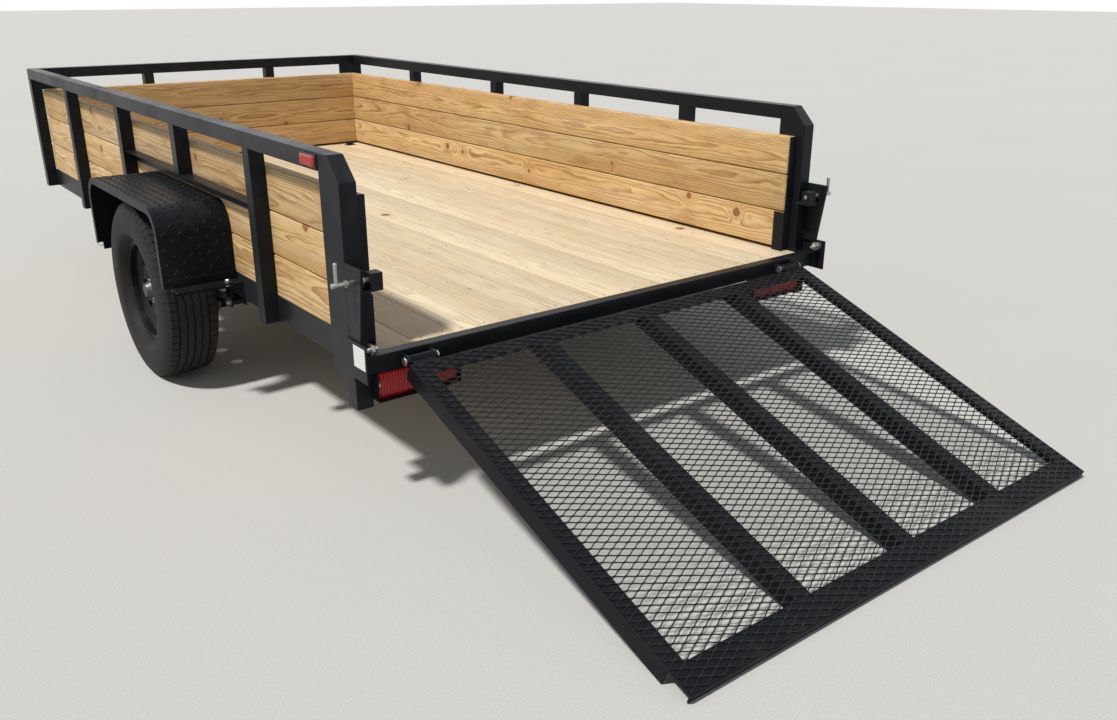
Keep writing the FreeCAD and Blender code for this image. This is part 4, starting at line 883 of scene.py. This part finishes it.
frame_low, frame_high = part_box("side_frame_right")
rail_low, rail_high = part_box("top_rail_right")
BED_HALF = frame_high.x
RAIL_OUTER = rail_high.x
BED_FRONT = 3.709  # outer front face, from the rear edge of the bed
REAR_EDGE = rail_high.y - BED_FRONT
UPRIGHTS = tuple(REAR_EDGE + y for y in (0.69, 1.39, 2.09, 2.93, 3.6835))
SHORT_UPRIGHT = 1  # stands on the mid rail over the fender
UPRIGHT_HALF = 0.0255
BRACE_TOP, BRACE_UNDER = 0.44, 0.436
DECK_TOP = 0.45
LATCH_PIN_Z = 0.67
LUG_STUD_Z = 0.48
SPRING_EYE_Z = 0.3285
TIE_PLATE_Z = 0.3025
AXLE_RADIUS = 0.03
JACK_PLATE_TOP = 0.38


def make_blank_plate():
    """White blank plate on the left corner lug."""
    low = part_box("rear_post_left")[0]
    shell = Shell()
    shell.bar((low.x - 0.0008, low.y + 0.006, 0.428), (low.x, low.y + 0.072, 0.491), X, 0.0004)
    shell.build("blank_plate", [WHITE])


def make_rail_plugs():
    """Plugs pressed into the open front ends of the side rails."""
    shell = Shell()
    for sign in (-1, 1):
        near, far = sorted((sign * (BED_HALF + 0.0016), sign * (RAIL_OUTER - 0.0016)))
        shell.bar((near, rail_high.y - 0.004, rail_low.z + 0.0016),
                  (far, rail_high.y - 0.0006, rail_high.z - 0.0016), Y, 0.0012)
    shell.build("rail_plugs", [SOCKET])


def make_board_screws():
    """Two screw heads a board where the deck crosses the frame."""
    low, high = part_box("deck_boards")
    shell = Shell()
    rng = random.Random(3)
    pitch = (high.x - low.x) / DECK_COUNT
    lines = [low.y + 0.022] + [low.y + (high.y - low.y) * i / 8 for i in range(1, 8)] + [high.y - 0.022]
    for y in lines:
        for i in range(DECK_COUNT):
            for k in (-0.28, 0.28):
                x = low.x + pitch * (i + 0.5 + k) + rng.uniform(-0.004, 0.004)
                shell.screw((x, y + rng.uniform(-0.003, 0.003), high.z - 0.0009), UP, 0.0038)
    shell.build("board_screws", [HUB])


def make_weld_beads():
    """Beads at the joints of the uprights, rails, hinges, braces, lugs, tongue, jack and coupler."""
    rng = random.Random(9)
    shell = Shell()
    for side, sign in SIDES:
        outer, inner = RAIL_OUTER * sign, BED_HALF * sign
        lip = 0.004 * sign
        for i, y in enumerate(UPRIGHTS):
            for edge in (y - UPRIGHT_HALF, y + UPRIGHT_HALF):
                shell.bead((inner + lip, edge, rail_low.z), (outer - lip, edge, rail_low.z),
                           0.0024, rng)
                if i == SHORT_UPRIGHT:
                    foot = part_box("mid_rail_right")[1].z
                    shell.bead((inner + lip, edge, foot), (inner + 0.042 * sign, edge, foot),
                               0.0024, rng)
                else:
                    shell.bead((inner, edge, frame_low.z + 0.004), (inner, edge, frame_low.z + 0.085),
                               0.0026, rng)
            shell.bead((outer, y - 0.022, rail_low.z), (outer, y + 0.022, rail_low.z), 0.0018, rng)
        low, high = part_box("ramp_hinge_" + side)
        for x in (low.x + 0.006, low.x + 0.0145, high.x - 0.0145, high.x - 0.006):
            shell.bead((x, high.y, low.z), (x, high.y, high.z), 0.0022, rng)
        low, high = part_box("fender_" + side)
        for y in (low.y, high.y - 0.06):
            for z, radius in ((BRACE_TOP + 0.0005, 0.0026), (BRACE_UNDER - 0.0005, 0.0024)):
                shell.bead((inner, y + 0.004, z), (inner, y + 0.056, z), radius, rng)
        low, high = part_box("rear_post_" + side)
        x, y = (high.x if sign > 0 else low.x) - sign * 0.006, REAR_EDGE
        shell.bead((x, y + 0.072, 0.452), (x, y + 0.072, 0.498), 0.0022, rng)
        shell.bead((x, y + 0.002, 0.451), (x, y + 0.038, 0.451), 0.0022, rng)
        x, y = sign * 0.36, REAR_EDGE + BED_FRONT
        shell.bead((x - 0.03, y, 0.374), (x + 0.03, y, 0.374), 0.003, rng)
    low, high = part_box("jack_tube")
    centre = (low + high) / 2
    shell.ring_bead((centre.x, centre.y, JACK_PLATE_TOP + 0.0005), 0.0305, 0.0028, rng)
    low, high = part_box("coupler")
    for x in (low.x, high.x):
        shell.bead((x, low.y + 0.004, 0.3745), (x, low.y + 0.12, 0.3745), 0.0026, rng)
    shell.build("weld_beads", [BLACK], sharp=60)


def make_spring_clamps(side):
    """Two U-bolts round the axle with a plate and nuts over the leaves, and the eye bolts' heads."""
    low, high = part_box("spring_" + side)
    at_x, at_y = (low.x + high.x) / 2, pivots[side + "_wheel_spin"][1]
    axle_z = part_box("axle_beam")[0].z + AXLE_RADIUS
    shell = Shell()
    shell.bar((at_x - 0.041, at_y - 0.056, TIE_PLATE_Z),
              (at_x + 0.041, at_y + 0.056, TIE_PLATE_Z + 0.008), Y, 0.0015)
    leg = AXLE_RADIUS + 0.0062
    for x in (at_x - 0.0277, at_x + 0.0277):
        path = [(x, at_y - leg, TIE_PLATE_Z + 0.026), (x, at_y - leg, axle_z)]
        path += [(x, at_y - leg * cos(pi * i / 10), axle_z - leg * sin(pi * i / 10))
                 for i in range(1, 10)]
        path += [(x, at_y + leg, axle_z), (x, at_y + leg, TIE_PLATE_Z + 0.026)]
        shell.sweep(path, 0.0055, 10)
        for y in (at_y - leg, at_y + leg):
            shell.bolt((x, y, TIE_PLATE_Z + 0.008), UP, 0.018, 0.01)
    for y in (low.y + 0.022, high.y - 0.022):
        for x, out in ((low.x, -1), (high.x, 1)):
            shell.bolt((x - out * 0.0055, y, SPRING_EYE_Z), (out, 0, 0), 0.021, 0.0095, 0.3)
    shell.build("spring_clamps_" + side, [ZINC])


def make_fixings(side, sign):
    """Bolts of the fender braces, stud of the corner lug, heads of the hinge pin, and the latch pin."""
    shell = Shell()
    low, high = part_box("fender_" + side)
    for y in (low.y + 0.03, high.y - 0.03):
        x = sign * (BED_HALF + 0.045)
        shell.bolt((x, y, BRACE_TOP), UP, 0.015, 0.0075, 0.4)
        shell.bolt((x, y, BRACE_UNDER), (0, 0, -1), 0.015, 0.009, 0.9)
    # Stud through the corner lug with washers and a nut; its outer head is only on the right,
    # because the blank plate covers the left one.
    stud = Vector((RAIL_OUTER * sign, REAR_EDGE - 0.022, LUG_STUD_Z))
    outward = Vector((sign, 0, 0))
    inward = -outward
    shell.lathe([(-0.001, 0), (-0.001, 0.006), (0.044, 0.006), (0.046, 0.0048), (0.046, 0)], 16,
                stud, inward)
    for along, wide in ((0, 0.0135), (0.022, 0.016)):
        shell.lathe([(0, 0.0062), (0, wide), (0.0022, wide), (0.0022, 0.0062)], 22,
                    stud + inward * along, inward)
    shell.hex_head(0.019, 0.0105, stud + inward * 0.0245, inward, 0.35)
    if sign > 0:
        shell.bolt(stud + outward * 0.006, outward, 0.019, 0.009, 0.2)
    low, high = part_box("ramp_hinge_" + side)
    for x, out in ((low.x, -1), (high.x, 1)):
        shell.lathe([(-0.004, 0.0115), (0, 0.0122), (0.0012, 0.0115), (0.0012, 0)], 20,
                    (x, *pivots["ramp_hinge"][1:]), (out, 0, 0))
    # Bright sleeve over the latch pin, its bent handle and two collars.
    low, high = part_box("gate_latch_" + side)
    root, tip = (low.x, high.x) if sign > 0 else (high.x, low.x)
    span = abs(tip - root) + 0.0016

    def on_pin(x, z=0):
        return x, REAR_EDGE, LATCH_PIN_Z + z

    shell.lathe([(0, 0), (0, 0.0066), (0.0012, 0.0074), (span - 0.001, 0.0074),
                 (span, 0.0066), (span, 0)], 18, on_pin(root - sign * 0.0008), outward)
    bend = tip - sign * 0.014
    shell.sweep([on_pin(bend), on_pin(bend, 0.0596), on_pin(bend, 0.0608)], 0.006, 12, [1, 1, 0.8])
    for along in (0.05, 0.098):
        shell.lathe([(0, 0.0074), (0, 0.0105), (0.004, 0.0105), (0.004, 0.0074)], 18,
                    on_pin(root + sign * along), outward)
    shell.build("fixings_" + side, [ZINC])


def make_corner_ring(side, sign):
    """Folding tie-down ring in a clip at the front corner of the deck."""
    shell = Shell()
    at = Vector((sign * 0.8, REAR_EDGE + 3.56, DECK_TOP))
    shell.bar(at + Vector((-0.028, -0.02, 0)), at + Vector((0.028, 0.02, 0.004)), X, 0.0014)
    arch = [pi * i / 8 for i in range(9)]
    shell.add(*loft([[(at.x + x, at.y + 0.011 * cos(a), at.z + 0.003 + 0.011 * sin(a))
                      for a in arch] for x in (-0.014, 0.014)]))
    shell.sweep([at + Vector((0.026 * c, 0.026 * s - 0.013, 0.0145 - 0.0065 * s))
                 for c, s in circle(24) + circle(1)], 0.0045, 10)
    shell.kind = 1
    for x in (-0.021, 0.021):
        shell.screw(at + Vector((x, 0, 0.004)), UP, 0.006)
    shell.build("corner_ring_" + side, [BLACK, BRIGHT])


make_blank_plate()
make_rail_plugs()
make_board_screws()
make_weld_beads()
for side, sign in SIDES:
    make_spring_clamps(side)
    make_fixings(side, sign)
    make_corner_ring(side, sign)


# Jack and coupler fittings

def make_jack_fittings():
    """Top cap, plate bolts, collar, the crank's boss and its ribbed grip."""
    low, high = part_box("jack_tube")
    crank_low, crank_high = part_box("jack_crank")
    at_x, at_y = (low.x + high.x) / 2, (low.y + high.y) / 2
    shell = Shell()
    shell.lathe([(-0.016, 0.0302), (-0.016, 0.0325), (0, 0.0325), (0, 0.03)], 32,
                (at_x, at_y, high.z), UP)
    for x in (-0.085, 0.085):
        for y in (-0.048, 0.048):
            shell.bolt((at_x + x, at_y + y, JACK_PLATE_TOP), UP, 0.017, 0.0085, x * 9)
    shell.lathe([(0, 0.0303), (0, 0.0345), (0.01, 0.0345), (0.012, 0.0303)], 32,
                (at_x, at_y, low.z), UP)
    shell.lathe([(0, 0.008), (0, 0.0145), (0.016, 0.0145), (0.017, 0.008)], 24,
                (at_x + 0.03, at_y, high.z - 0.04), (1, 0, 0))
    shell.kind = 1
    ribs = [(0.003 + 0.0074 * i, 0.0142 - 0.0012 * (i % 2)) for i in range(1, 10)]
    shell.lathe([(0, 0), (0, 0.0128), (0.003, 0.0142), *ribs, (0.077, 0.0142), (0.08, 0.0122),
                 (0.08, 0)], 24, (crank_high.x - 0.0805, at_y, crank_low.z + 0.012), (1, 0, 0))
    shell.build("jack_fittings", [ZINC, SOCKET])


def make_coupler_fittings():
    """Latch lever over the coupler, its pivot and the bolts through the shank."""
    low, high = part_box("coupler")
    ball_y = high.y - 0.0394
    shell = Shell()
    for x in (-0.02, 0.02):
        shell.bar((x - 0.0025, ball_y - 0.135, high.z - 0.002),
                  (x + 0.0025, ball_y - 0.06, high.z + 0.022), Y, 0.0012)
    lever = [(0, ball_y - back, high.z + up)
             for back, up in ((0.07, 0.012), (0.115, 0.02), (0.17, 0.034), (0.205, 0.036))]
    shell.sweep(lever, 0.0095, 12, [0.9, 1, 1, 0.7])
    shell.kind = 1
    shell.lathe([(0, 0), (0, 0.0055), (0.052, 0.0055), (0.052, 0)], 16,
                (-0.026, ball_y - 0.098, high.z + 0.014), (1, 0, 0))
    for x, out in ((low.x, -1), (high.x, 1)):
        for y in (0.04, 0.095):
            shell.bolt((x, low.y + y, low.z + 0.026), (out, 0, 0), 0.018, 0.009, y * 5)
    shell.build("coupler_fittings", [BLACK, ZINC])


make_jack_fittings()
make_coupler_fittings()


# Light and floor

FLOOR_HALF = 60


def make_lamp(name, energy, angle, colour, travel):
    """A sun as wide as an angle in degrees, shining along travel."""
    lamp = bpy.data.objects.new(name, bpy.data.lights.new(name, "SUN"))
    lamp.data.energy = energy
    lamp.data.angle = radians(angle)
    lamp.data.color = colour
    lamp.rotation_mode = "QUATERNION"
    lamp.rotation_quaternion = Vector(travel).to_track_quat("-Z", "Y")
    scene.collection.objects.link(lamp)


def make_sky():
    """An even pale sky that the camera, mirrors and glass see as white."""
    world = bpy.data.worlds.new("studio")
    scene.world = world
    g = Graph(world)
    rays = g.add("LightPath").outputs
    seen = g.math("MAXIMUM", rays["Is Glossy Ray"], rays["Is Transmission Ray"])
    seen = g.math("MAXIMUM", rays["Is Camera Ray"], seen)
    sky = g.add("Background", {"Color": (0.86, 0.92, 1), "Strength": 0.22}).outputs[0]
    white = g.add("Background", {"Color": (1, 1, 1)}).outputs[0]
    blend = g.add("MixShader", {0: seen, 1: sky, 2: white}).outputs[0]
    g.add("OutputWorld", {"Surface": blend})


def make_floor():
    """A plain pale floor."""
    mesh = bpy.data.meshes.new("floor")
    corners = [(x * FLOOR_HALF, y * FLOOR_HALF, 0) for x, y in ((-1, -1), (1, -1), (1, 1), (-1, 1))]
    mesh.from_pydata(corners, [], [(0, 1, 2, 3)])
    floor = bpy.data.objects.new("floor", mesh)
    scene.collection.objects.link(floor)
    g = coat("floor")
    at = g.place()
    speck = g.noise(at, 240, 3, 0.7)
    cloud = g.noise(at, 0.7, 4)
    tint = g.mix(g.remap(speck, 0.3, 0.7), (0.53, 0.53, 0.52), (0.66, 0.655, 0.64))
    tint = g.mix(g.remap(cloud, 0.3, 0.7, 0, 0.25), tint, (0.56, 0.55, 0.53))
    mesh.materials.append(g.finish(Base_Color=tint, Roughness=0.85))


# The key stands high on the left, as the sun does in the photograph.
make_lamp("key", 3.25, 5, (1, 0.97, 0.92), (0.6, 0.03, -1))
make_lamp("fill", 0.17, 60, (1, 1, 1), (0.35, 1, -0.55))
make_sky()
make_floor()

FINE_EDGE, EDGE = 0.0012, 0.0022
for name, obj in nodes.items():
    if not obj.hide_render:
        soften(obj, FINE_EDGE if name.startswith(("wheel", "hub", "fender")) else EDGE)
